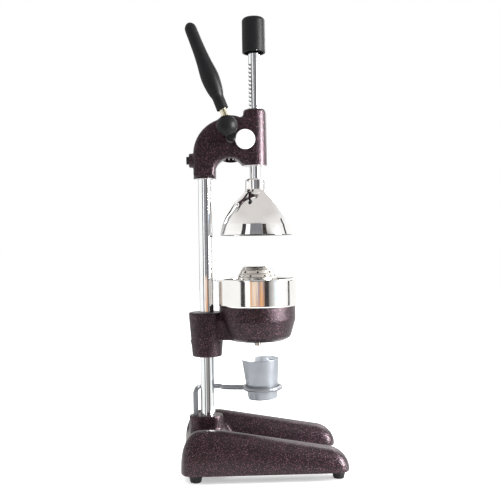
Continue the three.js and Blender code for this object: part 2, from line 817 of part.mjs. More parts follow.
function makeArmScrew() {
  const slope = (armSleeveTopRadius - armSleeveBottomRadius) / (armSleeveTopZ - armSleeveBottomZ);
  const surface = armSleeveBottomRadius + (armScrewZ - armSleeveBottomZ) * slope;
  return lengthwiseBar(armScrewRadius, 0, armScrewZ,
    columnX - surface - armScrewProud, columnX - columnRadius - 2 * seatGap);
}

function makeSpout() {
  const floor = bowlBottomZ + bowlFloor + seatGap;
  return revolve([
    [spoutRadius - spoutWall, spoutBottomZ], [spoutRadius, spoutBottomZ], [spoutRadius, floor],
    [spoutRadius + spoutFlange, floor], [spoutRadius + spoutFlange, floor + spoutFlangeThickness],
    [spoutRadius - spoutWall, floor + spoutFlangeThickness],
  ], rodX, 0, smallSides);
}

// The pan is one sheet: rolled lip, wall, floor on the bowl's rim, and a catch that centres it in the bowl.
function makePan() {
  const inside = panRadius - panWall;
  return revolve([
    [drainRadius, panBottomZ], [panCatchRadius - panWall, panBottomZ],
    [panCatchRadius - panWall, panBottomZ - panCatchDrop], [panCatchRadius, panBottomZ - panCatchDrop],
    [panCatchRadius, panBottomZ],
    ...roundEdge(panRadius - panCorner, panBottomZ + panCorner, panCorner, -Math.PI / 2, 0),
    [panRadius, panTopZ - panWall], [panFlangeRadius - panWall, panTopZ - panWall],
    [panFlangeRadius - panWall, panTopZ - panLipDrop], [panFlangeRadius, panTopZ - panLipDrop],
    [panFlangeRadius, panTopZ], [inside, panTopZ],
    [inside, panBottomZ + panCorner], [panRadius - panCorner, panFloorZ], [drainRadius, panFloorZ],
  ], rodX);
}

// The reamer's outer radius at a height: a steep crown over a longer skirt.
function reamerRadius(z) {
  if (z > reamerWaistZ) {
    const share = (reamerTopZ - z) / (reamerTopZ - reamerWaistZ);
    return reamerTopRadius + (reamerWaistRadius - reamerTopRadius) * share;
  }
  const share = (reamerWaistZ - z) / (reamerWaistZ - panFloorZ);
  return reamerWaistRadius + (reamerFootRadius - reamerWaistRadius) * share;
}

function makeReamer() {
  const foot = panFloorZ + seatGap;
  const outer = [];
  const steps = reamerRows;
  for (let i = steps; i >= 0; i--) {
    const z = reamerTopZ - reamerRing * (i + 1);
    outer.push([reamerRadius(z), z], [reamerRadius(z) - reamerStepDepth, z + reamerStepDepth]);
  }
  const profile = [
    [reamerFootRadius + reamerSeat, foot], [reamerFootRadius + reamerSeat, foot + reamerWall],
    [reamerRadius(foot + reamerWall), foot + reamerWall],
    ...outer, [reamerTopRadius, reamerTopZ - reamerWall], [reamerTopRadius - reamerWall, reamerTopZ],
    [0, reamerTopZ], [0, reamerTopZ - reamerWall - reamerStepDepth],
    [reamerTopRadius - 2 * reamerWall - reamerStepDepth, reamerTopZ - reamerWall - reamerStepDepth],
    [reamerRadius(reamerWaistZ) - reamerWall - 2 * reamerStepDepth, reamerWaistZ],
    [reamerFootRadius - reamerWall - reamerStepDepth, foot],
  ];
  const holes = [];
  for (let row = 0; row < reamerRows; row++) {
    const z = reamerTopZ - reamerRing * (row + 1.5);
    const radius = reamerRadius(z);
    for (let i = 0; i < reamerHolesPerRow; i++) {
      const angle = 2 * Math.PI * (i + (row % 2) / 2) / reamerHolesPerRow;
      const hole = lengthwiseBar(reamerHoleRadius, 0, z, radius - 2 * overrun, radius + overrun, holeSides);
      hole.rotateZ(angle);
      hole.translate(rodX, 0, 0);
      holes.push(hole);
    }
  }
  return cut(toSolid(revolve(profile, rodX)), holes);
}

// Cup holder and drip cup

const cupSlope = (cupTopRadius - cupBottomRadius) / cupHeight;
const ringInnerRadius = cupBottomRadius + (armRodZ + ringRodRadius - cupBottomZ) * cupSlope + 2 * seatGap;

// A rod whose round section is carried along a smooth path.
function bentRod(points, radius, steps) {
  const path = new THREE.CatmullRomCurve3(points.map((point) => new THREE.Vector3(...point)), false, 'centripetal');
  const section = new THREE.Shape();
  section.absarc(0, 0, radius, 0, 2 * Math.PI, false);
  return new THREE.ExtrudeGeometry(section, { steps, extrudePath: path, bevelEnabled: false, curveSegments: 4 });
}

function makeHolder() {
  const ringReach = ringInnerRadius + ringRodRadius;
  const ring = new THREE.TorusGeometry(ringReach, ringRodRadius, 8, roundSides);
  ring.translate(ringX, 0, armRodZ);
  const tabEnd = ringX - ringReach;
  const tabStart = tabEnd - ringTabLength;
  const post = upright(postRadius, postX, 0, postFootZ, armRodZ - armBend / 2, smallSides);
  const arm = bentRod([
    [postX, 0, armRodZ - armBend],
    [postX + armBend / 8, armBend / 4, armRodZ - armBend / 4],
    [postX + armBend / 2, armBend * 1.3, armRodZ],
    [columnX - armBend, armBypass - armBend / 4, armRodZ],
    [columnX + armBend / 2, armBypass, armRodZ],
    [columnX + armBypass, armBypass * 0.8, armRodZ],
    [tabStart, armBypass * 0.3, armRodZ],
    [tabEnd, 0, armRodZ],
  ], armRodRadius, 24);
  const tab = new THREE.BoxGeometry(ringTabLength, ringTabThickness, ringTabHeight);
  tab.rotateZ(-Math.atan2(armBypass * 0.3, ringTabLength));
  tab.translate((tabStart + tabEnd) / 2, armBypass * 0.15, armRodZ);
  const solid = join([post, arm, ring, tab]);
  return cut(solid, [upright(ringInnerRadius, ringX, 0, armRodZ - ringTabHeight, armRodZ + ringTabHeight)]);
}

function makeCup() {
  const top = cupHeight;
  const inner = cupTopRadius - cupWall;
  const geometry = revolve([
    [0, 0], [cupBottomRadius, 0], [cupTopRadius, top], [inner, top],
    [cupBottomRadius - cupWall + cupFloor * cupSlope, cupFloor], [0, cupFloor],
  ]);
  const seat = armRodZ - cupBottomZ;
  geometry.translate(0, 0, -seat);
  geometry.rotateY(-cupLean);
  geometry.translate(ringX, 0, armRodZ);
  return geometry;
}

// Lever

// The grip's outer profile: shares of its length and of its bulge.
const gripShares = [[0, 0.64], [0.015, 0.655], [0.12, 0.643], [0.15, 0.685], [0.186, 0.8], [0.23, 0.88],
  [0.29, 0.96], [0.36, 1], [0.43, 0.955], [0.51, 0.855], [0.6, 0.77], [0.72, 0.7], [0.87, 0.665],
  [0.94, 0.632], [0.972, 0.48], [0.992, 0.22]];

// A piece made along the lever's own axis is leaned back and set on the ball's centre.
function onLever(geometry) {
  geometry.rotateY(-leverTilt);
  geometry.translate(ballX, -shaftReach, ballZ);
  return geometry;
}

const ballX = pinionX - ballSetback;
const ballZ = pinionZ + ballRise;

function makeBall() {
  const ball = onLever(new THREE.SphereGeometry(ballRadius, rodSides, smallSides));
  const shaftSeat = crossBar(shaftBossRadius + seatGap, pinionX, pinionZ, -shaftReach - seatGap, 0);
  const rodSeat = onLever(upright(leverRodRadius + seatGap, leverRodShift, 0, leverRodRoot - seatGap,
    ballRadius + overrun, smallSides));
  return cut(toSolid(ball), [shaftSeat, rodSeat]);
}

function makeLeverRod() {
  return onLever(upright(leverRodRadius, leverRodShift, 0, leverRodRoot, gripStart + leverRodInset, smallSides));
}

function makeGrip() {
  const profile = gripShares.map(([along, across]) => [gripBulge * across, gripStart + gripLength * along]);
  const bore = leverRodRadius + seatGap;
  const boreEnd = gripStart + leverRodInset + seatGap;
  return onLever(revolve([
    [bore, boreEnd], [bore, gripStart], ...profile, [0, gripStart + gripLength], [0, boreEnd],
  ], leverRodShift, 0, rodSides));
}

// Assembly

function piece(name, shape, finish) {
  const geometry = shape.isBufferGeometry ? toGeometry(toSolid(shape)) : toGeometry(shape);
  const mesh = new THREE.Mesh(geometry, new THREE.MeshStandardMaterial(finishes[finish]));
  mesh.name = name;
  return mesh;
}

const stand = new THREE.Group();
stand.add(piece('base_casting', makeBase(), 'hammered'));
for (const [name, x, y] of footPlaces) stand.add(piece(name, makeFoot(x, y), 'rubber'));
stand.add(piece('column_tube', makeColumn(), 'chrome'));

const head = new THREE.Group();
head.add(piece('head_casting', makeHead(), 'hammered'));
head.add(piece('head_clamp_screw', makeHeadScrew(), 'blackPlastic'));
head.add(piece('shaft_bush', makeBush(), 'steel'));
head.add(piece('gear_cover', makeCover(), 'greyPaint'));
coverScrewPlaces.forEach(([x, z], i) => head.add(piece(`cover_screw_${i + 1}`, makeCoverScrew(x, z), 'steel')));
head.add(piece('gear_window_plug', makePlug(), 'whitePlastic'));

const lever = new THREE.Group();
lever.add(piece('pinion_gear', makePinion(), 'steel'));
lever.add(piece('pinion_shaft', makeShaft(), 'chrome'));
lever.add(piece('lever_ball', makeBall(), 'blackPlastic'));
lever.add(piece('lever_rod', makeLeverRod(), 'nickel'));
lever.add(piece('lever_grip', makeGrip(), 'blackPlastic'));

const plunger = new THREE.Group();
plunger.add(piece('rack_rod', makeRackRod(), 'chrome'));
plunger.add(piece('rod_cap', makeCap(), 'blackPlastic'));
plunger.add(piece('press_dome', makeDome(), 'chrome'));
plunger.add(piece('dome_nut', makeDomeNut(), 'steel'));

const bowl = new THREE.Group();
bowl.add(piece('bowl_arm', makeBowlArm(), 'hammered'));
bowl.add(piece('bowl_arm_screw', makeArmScrew(), 'steel'));
bowl.add(piece('juice_spout', makeSpout(), 'stainless'));

const strainer = new THREE.Group();
strainer.add(piece('strainer_pan', makePan(), 'stainless'));
strainer.add(piece('reamer_cone', makeReamer(), 'stainless'));

const cupStand = new THREE.Group();
cupStand.add(piece('cup_holder', makeHolder(), 'greyPaint'));
cupStand.add(piece('drip_cup', makeCup(), 'silverPlastic'));

const press = new THREE.Group();
press.add(stand, head, lever, plunger, bowl, strainer, cupStand);

export default press;
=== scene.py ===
"""The looks of a lever citrus juice press: smooth surfaces, finishes, floor, lamps and camera.

Every shape is a surface worked out with numpy in the frame's own place, in millimetres, and made in metres.
"""

import logging
import math
from dataclasses import dataclass
from enum import Enum
from typing import Optional, Sequence, Union

import bmesh
import bpy
import numpy as np
from mathutils import Matrix, Vector


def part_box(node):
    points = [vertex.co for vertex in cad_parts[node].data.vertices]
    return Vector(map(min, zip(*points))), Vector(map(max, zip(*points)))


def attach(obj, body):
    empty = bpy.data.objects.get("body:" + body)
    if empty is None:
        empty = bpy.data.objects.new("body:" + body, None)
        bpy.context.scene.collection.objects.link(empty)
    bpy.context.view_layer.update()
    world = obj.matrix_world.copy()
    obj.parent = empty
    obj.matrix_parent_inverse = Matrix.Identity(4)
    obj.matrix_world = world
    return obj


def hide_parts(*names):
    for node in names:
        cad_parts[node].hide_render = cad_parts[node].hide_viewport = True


LOG = logging.getLogger("juice_press")
MM = 0.001

# Points in a full turn
FINEST = 192
FINE = 128
MEDIUM = 64
SMALL = 32

# Joining points and dropping slivers, in metres, and the sharp edges of turned and cast pieces, in degrees
WELD = 2e-6
SLIVER = 1e-7
SHARP = 32.0
CAST_SHARP = 80.0
STRAIGHT = 1.55

UP = (0.0, 0.0, 1.0)
ACROSS = (0.0, 1.0, 0.0)

# Where the axes lie
COLUMN_X = -83.2
ROD_X = -4.9
ARCH_X = -44.5
PINION_X = -42.3
PINION_Z = 506.0
POST_X = -102.2
RING_X = 1.0
COLUMN_BORE = 11.3

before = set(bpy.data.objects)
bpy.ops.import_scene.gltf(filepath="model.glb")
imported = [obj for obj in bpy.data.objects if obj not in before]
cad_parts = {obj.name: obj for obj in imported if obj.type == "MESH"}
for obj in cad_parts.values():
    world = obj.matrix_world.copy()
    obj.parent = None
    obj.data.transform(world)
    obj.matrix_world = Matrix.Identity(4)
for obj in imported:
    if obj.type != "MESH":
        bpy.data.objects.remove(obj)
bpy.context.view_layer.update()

Numbers = Union[Sequence[float], np.ndarray]
Piece = bpy.types.Object
Material = bpy.types.Material
Socket = bpy.types.NodeSocket


class Body(Enum):
    """The rigid bodies that pieces ride on."""

    STAND = "stand"
    LEVER = "lever"
    PLUNGER = "plunger"
    STRAINER = "strainer"
    CUP_ARM = "cup_arm"
    CUP = "cup"


class Side(Enum):
    """The two sides of the press, by the sign of Y."""

    NEAR = -1
    FAR = 1


class Work(Enum):
    """What a tool does to a piece."""

    ADD = "UNION"
    CUT = "DIFFERENCE"


class PaintedShade(Enum):
    """Where a plated piece gets painted shade: a dark colour laid where shadow falls."""

    NOWHERE = 0
    INSIDE = 1
    FLANKS = 2


# Surfaces


def rounded(corners: Sequence[Sequence[float]], steps: int = 6) -> np.ndarray:
    """Rounds the corners of an open outline.

    Each inner corner becomes an arc that touches both of its lines: the arc's centre lies on the
    corner's bisector, and its points turn evenly from one touching point to the other.

    Args:
        corners: Rows of two places and the corner's radius.
        steps: Pieces in each arc.

    Returns:
        The outline's points, one row each.
    """
    rows = np.asarray(corners, float)
    line = [rows[:1, :2]]
    for before, corner, after in zip(rows[:-2], rows[1:-1], rows[2:]):
        back, ahead = before[:2] - corner[:2], after[:2] - corner[:2]
        reach_back, reach_ahead = np.linalg.norm(back), np.linalg.norm(ahead)
        back, ahead = back / reach_back, ahead / reach_ahead
        half = math.acos(np.clip(back @ ahead, -1, 1)) / 2
        if corner[2] <= 0 or half > STRAIGHT:
            line.append(corner[None, :2])
            continue
        touch = min(corner[2] / math.tan(half), 0.49 * reach_back, 0.49 * reach_ahead)
        middle = corner[:2] + (back + ahead) / np.linalg.norm(back + ahead) * touch / math.cos(half)
        first, last = corner[:2] + back * touch - middle, corner[:2] + ahead * touch - middle
        sweep = math.pi - 2 * half
        turn = np.linspace(0, 1, steps + 1)[:, None]
        arc = (np.sin((1 - turn) * sweep) * first + np.sin(turn * sweep) * last) / math.sin(sweep)
        line.append(middle + arc)
    line.append(rows[-1:, :2])
    return np.vstack(line)


def smooth_line(points: Numbers, per_span: int = 8) -> np.ndarray:
    """Draws a smooth line through points.

    Between two points it is a cubic whose slopes at its ends are half the step from the point
    before to the point after.

    Args:
        points: The points, one row each.
        per_span: New points in each span.

    Returns:
        The line's points, one row each.
    """
    known = np.asarray(points, float)
    padded = np.vstack([2 * known[:1] - known[1:2], known, 2 * known[-1:] - known[-2:-1]])
    start, end = padded[1:-2, None], padded[2:-1, None]
    leave, arrive = (end - padded[:-3, None]) / 2, (padded[3:, None] - start) / 2
    t = np.linspace(0, 1, per_span, endpoint=False)[None, :, None]
    spans = ((2 * t**3 - 3 * t**2 + 1) * start + (t**3 - 2 * t**2 + t) * leave
             + (3 * t**2 - 2 * t**3) * end + (t**3 - t**2) * arrive)
    return np.vstack([spans.reshape(-1, known.shape[1]), known[-1:]])


def circle(radius: Numbers, start: float = 0.0, end: float = 2 * math.pi, count: int = FINE,
           closing: bool = True) -> np.ndarray:
    """Gives points on a circle: the radius times cos(a) and sin(a).

    Args:
        radius: The circle's radius.
        start: The first angle.
        end: The last angle.
        count: Points.
        closing: Whether the last angle has a point.

    Returns:
        The points, one row each.
    """
    angle = np.linspace(start, end, count, endpoint=closing)
    return radius * np.stack([np.cos(angle), np.sin(angle)], axis=1)


def placed(outline: np.ndarray, axis: int, place: float) -> np.ndarray:
    """Stands an outline across an axis (0 for X, 1 for Y, 2 for Z) at a place on it."""
    return np.insert(outline, axis, place, axis=1)


def grid_faces(rows: int, columns: int, wrap_rows: bool = False) -> np.ndarray:
    """Gives the four-sided faces of a grid whose columns go round.

    Args:
        rows: Rows of points.
        columns: Points in each row.
        wrap_rows: Whether the last row joins the first.

    Returns:
        The corner numbers of each face, one row each.
    """
    last = rows if wrap_rows else rows - 1
    i, j = np.meshgrid(np.arange(last), np.arange(columns), indexing="ij")
    below, beside = (i + 1) % rows, (j + 1) % columns
    corners = [i * columns + j, i * columns + beside, below * columns + beside, below * columns + j]
    return np.stack(corners, axis=-1).reshape(-1, 4)


def make_piece(name: str, points: np.ndarray, faces: Sequence[Sequence[int]]) -> Piece:
    """Makes a clean closed mesh object from points and faces.

    Args:
        name: The object's name.
        points: Points in millimetres, one row each.
        faces: Corner numbers of each face.

    Returns:
        The object, linked to the scene.
    """
    mesh = bpy.data.meshes.new(name)
    mesh.from_pydata((np.asarray(points) * MM).tolist(), [], [list(map(int, face)) for face in faces])
    shape = bmesh.new()
    shape.from_mesh(mesh)
    bmesh.ops.remove_doubles(shape, verts=shape.verts, dist=WELD)
    bmesh.ops.dissolve_degenerate(shape, edges=shape.edges, dist=SLIVER)
    bmesh.ops.recalc_face_normals(shape, faces=shape.faces)
    if shape.calc_volume(signed=True) < 0:
        bmesh.ops.reverse_faces(shape, faces=shape.faces)
    shape.to_mesh(mesh)
    shape.free()
    return link_piece(name, mesh)


def link_piece(name: str, mesh: bpy.types.Mesh) -> Piece:
    """Links a mesh to the scene as a smooth-shaded object.

    Args:
        name: The object's name.
        mesh: Its mesh.

    Returns:
        The object.
    """
    mesh.polygons.foreach_set("use_smooth", np.ones(len(mesh.polygons), bool))
    mesh.set_sharp_from_angle(angle=math.radians(SHARP))
    piece = bpy.data.objects.new(name, mesh)
    bpy.context.scene.collection.objects.link(piece)
    return piece


def basis(axis: Numbers) -> np.ndarray:
    """Gives three unit vectors at right angles, the last along an axis.

    Args:
        axis: The direction.

    Returns:
        The vectors as the rows of a matrix.
    """
    along = np.asarray(axis, float) / np.linalg.norm(axis)
    helper = np.array([0.0, 1.0, 0.0]) if abs(along[1]) < 0.9 else np.array([1.0, 0.0, 0.0])
    first = np.cross(helper, along)
    first /= np.linalg.norm(first)
    return np.array([first, np.cross(along, first), along])


def supported(line: np.ndarray, margin: float = 0.35, least: float = 3.0) -> np.ndarray:
    """Adds a point near both ends of each long straight run, so that its shading stays straight.

    Args:
        line: Rows of radius and height.
        margin: How far from an end the point lies.
        least: The shortest run that gets one.

    Returns:
        The line with its new rows.
    """
    rows = [line[0]]
    for start, end in zip(line[:-1], line[1:]):
        run = float(np.linalg.norm(end - start))
        if run > least:
            step = (end - start) * margin / run
            rows += [start + step, end - step]
        rows.append(end)
    return np.array(rows)


def turned(name: str, profile: Numbers, origin: Numbers, axis: Numbers = UP, around: int = FINE) -> Piece:
    """Turns a profile about an axis, as on a lathe.

    A point at radius r and height h, at an angle a round the axis, lies at the origin plus
    r cos(a) and r sin(a) along the two cross directions plus h along the axis.

    Args:
        name: The object's name.
        profile: Rows of radius and height, closed or from axis to axis.
        origin: A point on the axis, where the height is 0.
        axis: The axis.
        around: Points in a full turn.

    Returns:
        The object.
    """
    line = supported(np.asarray(profile, float))
    closed = bool(np.allclose(line[0], line[-1]))
    if closed:
        line = line[:-1]
    first, second, along = basis(axis)
    way = circle(1.0, count=around, closing=False)
    ring = way[:, :1] * first + way[:, 1:] * second
    points = np.asarray(origin) + line[:, 0, None, None] * ring + line[:, 1, None, None] * along
    return make_piece(name, points.reshape(-1, 3), grid_faces(len(line), around, closed))


def bar(name: str, radius: float, start: Numbers, end: Numbers, around: int = MEDIUM,
        edge: float = 0.0) -> Piece:
    """Makes a round bar between two points.

    Args:
        name: The object's name.
        radius: Its radius.
        start: The middle of one end.
        end: The middle of the other.
        around: Points in a full turn.
        edge: Radius of the rounding of both ends.

    Returns:
        The object.
    """
    length = float(np.linalg.norm(np.subtract(end, start)))
    corners = [(0, 0, 0), (radius, 0, edge), (radius, length, edge), (0, length, 0)]
    return turned(name, rounded(corners, 3), start, np.subtract(end, start), around)


def upright(radius: float, x: float, low: float, high: float, around: int = MEDIUM) -> Piece:
    """Makes an upright bar in the middle plane, used up as a tool or a part of a casting."""
    return bar("tool", radius, (x, 0, low), (x, 0, high), around)


def crosswise(radius: float, x: float, z: float, near: float, far: float, around: int = FINE) -> Piece:
    """Makes a bar along Y, used up as a tool or a part of a casting."""
    return bar("tool", radius, (x, near, z), (x, far, z), around)


def lengthwise(radius: float, z: float, rear: float, front: float, edge: float = 0.0) -> Piece:
    """Makes a bar along X in the middle plane, used up as a tool or a part of a casting."""
    return bar("tool", radius, (rear, 0, z), (front, 0, z), MEDIUM, edge)


def lofted(name: str, rings: Numbers) -> Piece:
    """Joins rings of points into a closed body with flat ends.

    Args:
        name: The object's name.
        rings: Points by ring, place in the ring, and X, Y, Z.

    Returns:
        The object.
    """
    rings = np.asarray(rings)
    count, around = rings.shape[:2]
    sides = grid_faces(count, around).tolist()
    ends = [list(range(around)), list(range((count - 1) * around, count * around))]
    return make_piece(name, rings.reshape(-1, 3), sides + ends)


def slab(name: str, outline: np.ndarray, near: float, far: float) -> Piece:
    """Carries an outline of X and Z across the press from one Y to another."""
    return lofted(name, [placed(outline, 1, near), placed(outline, 1, far)])


def rod_along(name: str, route: Numbers, radius: float, sideways: Numbers, around: int = SMALL) -> Piece:
    """Carries a round section along a smooth route.

    Each section lies square to the route: its first direction is the sideways vector less its
    share along the route, and its second is square to both.

    Args:
        name: The object's name.
        route: The route's points, one row each.
        radius: The rod's radius.
        sideways: A direction that the route never runs along.
        around: Points in each section.

    Returns:
        The object.
    """
    line = smooth_line(route, 10)
    along = np.gradient(line, axis=0)
    along /= np.linalg.norm(along, axis=1)[:, None]
    side = np.asarray(sideways, float)
    first = side - (along @ side)[:, None] * along
    first /= np.linalg.norm(first, axis=1)[:, None]
    second = np.cross(along, first)
    way = circle(1.0, count=around, closing=False)[None]
    section = way[..., :1] * first[:, None] + way[..., 1:] * second[:, None]
    return lofted(name, line[:, None] + radius * section)


def sheet_profile(corners: Sequence[Sequence[float]], wall: float) -> np.ndarray:
    """Thickens an outline into the closed profile of a pressed sheet.

    The outline's corners are rounded, and each of its points is moved half the wall to either
    side, at right angles to the way that the outline runs there.

    Args:
        corners: Rows of radius, height and corner radius along the middle of the sheet.
        wall: The sheet's thickness.

    Returns:
        The closed profile.
    """
    line = rounded(corners)
    along = np.gradient(line, axis=0)
    along /= np.linalg.norm(along, axis=1)[:, None]
    across = np.stack([along[:, 1], -along[:, 0]], axis=1) * wall / 2
    return np.vstack([line + across, (line - across)[::-1], line[:1] + across[:1]])


def arch_section(half_width: float, height: float, steps: int, skirt: float = 0.0) -> np.ndarray:
    """Gives a rounded arch over a flat foot.

    It is half of a squared ellipse: at an angle a, the share across is cos(a) and the share up is
    sin(a), each raised to the power 0.8.

    Args:
        half_width: Half the width of the foot.
        height: The height of the crown.
        steps: Pieces from one foot to the other.
        skirt: How far both sides go on below the foot.

    Returns:
        Rows of places across and up.
    """
    angle = np.linspace(0, math.pi, steps + 1)
    across = np.sign(np.cos(angle)) * np.abs(np.cos(angle)) ** 0.8
    up = np.clip(np.sin(angle), 0, 1) ** 0.8
    up[-1] = 0
    section = np.stack([half_width * across, height * up], axis=1)
    if skirt:
        section = np.vstack([[section[0, 0], -skirt], section, [section[-1, 0], -skirt]])
    return section


def fullness(distance: np.ndarray, run: float) -> np.ndarray:
    """Gives how full a rounded end is: 0 at its tip and 1 past its run, as a quarter circle."""
    left = np.clip(1 - distance / run, 0, 1)
    return np.sqrt(1 - left * left)


def rim_rings(half: float, edge: float, steps: int = 6) -> list:
    """Gives the rings of a plate whose rim is rounded by a quarter circle on both faces.

    At an angle a from the face the rim is drawn in by the edge times 1 - sin(a), and the ring
    lies the edge times 1 - cos(a) inside the face.

    Args:
        half: Half the plate's thickness.
        edge: Radius of the rounding.
        steps: Pieces in each quarter.

    Returns:
        Pairs of 1 - sin(a) and the ring's Y, from the near face to the far one.
    """
    angles = np.linspace(0, math.pi / 2, steps + 1)
    order = [(a, Side.NEAR) for a in angles] + [(a, Side.FAR) for a in angles[::-1]]
    return [(1 - math.sin(a), side.value * (half - edge * (1 - math.cos(a)))) for a, side in order]


def evaluated(piece: Piece, name: str) -> Piece:
    """Applies a piece's modifiers and drops the original.

    Args:
        piece: The object with its modifiers.
        name: The new object's name.

    Returns:
        The new object.
    """
    graph = bpy.context.evaluated_depsgraph_get()
    mesh = bpy.data.meshes.new_from_object(piece.evaluated_get(graph))
    bpy.data.objects.remove(piece)
    return link_piece(name, mesh)


def combine(piece: Piece, tools: Sequence[Piece], work: Work) -> Piece:
    """Joins tools to a piece or cuts them out of it.

    Args:
        piece: The piece to work on.
        tools: Closed bodies, which are used up.
        work: What the tools do.

    Returns:
        The result, under the piece's name.
    """
    name = piece.name
    for tool in tools:
        change = piece.modifiers.new("work", "BOOLEAN")
        change.operation, change.solver, change.object = work.value, "EXACT", tool
        piece = evaluated(piece, name)
        bpy.data.objects.remove(tool)
    return piece


def heap(pieces: Sequence[Piece], name: str) -> Piece:
    """Puts closed bodies that run into one another in one object, for `cast` to grow together.

    Args:
        pieces: The bodies, which are used up.
        name: The new object's name.

    Returns:
        The object.
    """
    points, faces, base = [], [], 0
    for piece in pieces:
        here = np.empty(len(piece.data.vertices) * 3)
        piece.data.vertices.foreach_get("co", here)
        points.append(here.reshape(-1, 3) / MM)
        faces += [[base + corner for corner in face.vertices] for face in piece.data.polygons]
        base += len(points[-1])
        bpy.data.objects.remove(piece)
    mesh = bpy.data.meshes.new(name)
    mesh.from_pydata((np.vstack(points) * MM).tolist(), [], faces)
    return link_piece(name, mesh)


def cast(piece: Piece, name: str, grain: float, passes: int) -> Piece:
    """Gives a joined body the soft edges and fillets of a casting.

    The body is rebuilt from cubes of one size, and its points are then drawn towards their
    neighbours, which rounds the outer edges and fills the inner corners.

    Args:
        piece: The joined body.
        name: The casting's name.
        grain: The size of the cubes, in millimetres.
        passes: How often the points are drawn together.

    Returns:
        The casting.
    """
    rebuild = piece.modifiers.new("rebuild", "REMESH")
    rebuild.mode, rebuild.voxel_size = "VOXEL", grain * MM
    soften = piece.modifiers.new("soften", "SMOOTH")
    soften.factor, soften.iterations = 0.5, passes
    done = evaluated(piece, name)
    done.data.set_sharp_from_angle(angle=math.radians(CAST_SHARP))
    return done


# Finishes


class Graph:
    """The nodes of a material or a sky, with short calls to add and join them."""

    def __init__(self, owner: Union[Material, bpy.types.World]) -> None:
        """Starts an empty tree.

        Args:
            owner: The material or the sky that the nodes are for.
        """
        owner.use_nodes = True
        self.owner, self.tree = owner, owner.node_tree
        self.tree.nodes.clear()
        places = self.add("ShaderNodeTexCoord").outputs
        self.place, self.facing, self.way = places["Object"], places["Normal"], places["Generated"]

    def add(self, kind: str, inputs: Optional[dict] = None, **settings) -> bpy.types.Node:
        """Adds a node.

        Args:
            kind: The node's type.
            inputs: Values or sockets by input name or number.
            **settings: Properties of the node.

        Returns:
            The node.
        """
        node = self.tree.nodes.new(kind)
        for key, value in settings.items():
            setattr(node, key, value)
        for key, value in (inputs or {}).items():
            if isinstance(value, Socket):
                self.tree.links.new(value, node.inputs[key])
            else:
                node.inputs[key].default_value = value
        return node

    def sum(self, operation: str, first: Socket, second: Union[Socket, float] = 0.5) -> Socket:
        """Works out a number from one or two others."""
        return self.add("ShaderNodeMath", {0: first, 1: second}, operation=operation).outputs[0]

    def arrow(self, operation: str, first: Socket, second: Union[Socket, tuple]) -> Socket:
        """Works out an arrow from two others."""
        return self.add("ShaderNodeVectorMath", {0: first, 1: second}, operation=operation).outputs["Vector"]

    def part(self, arrow: Socket, axis: str) -> Socket:
        """Gives an arrow's part along X, Y or Z."""
        return self.add("ShaderNodeSeparateXYZ", {"Vector": arrow}).outputs[axis]

    def mix(self, share: Socket, first: Socket, second: Union[Socket, tuple]) -> Socket:
        """Lays a second colour over a first by a share."""
        inputs = {0: share, 6: first, 7: second if isinstance(second, Socket) else (*second, 1.0)}
        return self.add("ShaderNodeMix", inputs, data_type="RGBA").outputs[2]

    def stretched(self, scale: Numbers) -> Socket:
        """Gives object places scaled by axis, for a pattern that is drawn out."""
        return self.add("ShaderNodeMapping", {"Vector": self.place, "Scale": tuple(scale)}).outputs["Vector"]

    def noise(self, scale: float, detail: float = 2.0, place: Optional[Socket] = None) -> Socket:
        """Adds a cloudy pattern and gives its value."""
        inputs = {"Vector": place or self.place, "Scale": scale, "Detail": detail}
        return self.add("ShaderNodeTexNoise", inputs).outputs["Fac"]

    def ramp(self, value: Socket, stops: Sequence[tuple]) -> Socket:
        """Maps a value to colours.

        Args:
            value: The value socket.
            stops: Pairs of place and colour, or of place and grey level.

        Returns:
            The colour socket.
        """
        node = self.add("ShaderNodeValToRGB", {"Fac": value})
        elements = node.color_ramp.elements
        while len(elements) < len(stops):
            elements.new(0.5)
        for element, (place, colour) in zip(elements, stops):
            element.position = place
            element.color = (*colour, 1) if isinstance(colour, tuple) else (colour, colour, colour, 1)
        return node.outputs["Color"]

    def spread(self, value: Socket, low: float, high: float) -> Socket:
        """Maps a value from 0 to 1 onto low to high."""
        inputs = {"Value": value, "To Min": low, "To Max": high}
        return self.add("ShaderNodeMapRange", inputs).outputs["Result"]

    def bump(self, height: Socket, depth: float, strength: float = 0.5) -> Socket:
        """Turns a height, of which 1 is a depth in metres, into a surface direction."""
        inputs = {"Height": height, "Distance": depth, "Strength": strength}
        return self.add("ShaderNodeBump", inputs).outputs["Normal"]

    def inward(self) -> Socket:
        """Gives 1 where a face looks towards the rod's axis, and 0 elsewhere.

        It tests the arrow out from the axis, in the level plane, times the way that the face looks.

        Returns:
            The value socket.
        """
        out = self.arrow("MULTIPLY", self.arrow("ADD", self.place, (-ROD_X * MM, 0, 0)), (1, 1, 0))
        turn = self.add("ShaderNodeVectorMath", {0: out, 1: self.facing}, operation="DOT_PRODUCT")
        return self.sum("LESS_THAN", turn.outputs["Value"], -0.002)

    # These faces take the rack's painted shadow.
    def flanks(self) -> Socket:
        """Gives 1 on the rack's rear faces that look up or down, and 0 elsewhere.

        Returns:
            The value socket.
        """
        steep = self.sum("GREATER_THAN", self.sum("ABSOLUTE", self.part(self.facing, "Z")), 0.35)
        rear = self.sum("LESS_THAN", self.part(self.place, "X"), (ROD_X - 3) * MM)
        return self.sum("MULTIPLY", steep, rear)

    def finish(self, **inputs) -> Material:
        """Closes the material with a principled surface.

        Args:
            **inputs: Values or sockets, with underscores for spaces.

        Returns:
            The material.
        """
        named = {key.replace("_", " "): value for key, value in inputs.items()}
        for key, value in named.items():
            if isinstance(value, tuple) and len(value) == 3:
                named[key] = (*value, 1.0)
        surface = self.add("ShaderNodeBsdfPrincipled", named)
        self.add("ShaderNodeOutputMaterial", {"Surface": surface.outputs["BSDF"]})
        return self.owner


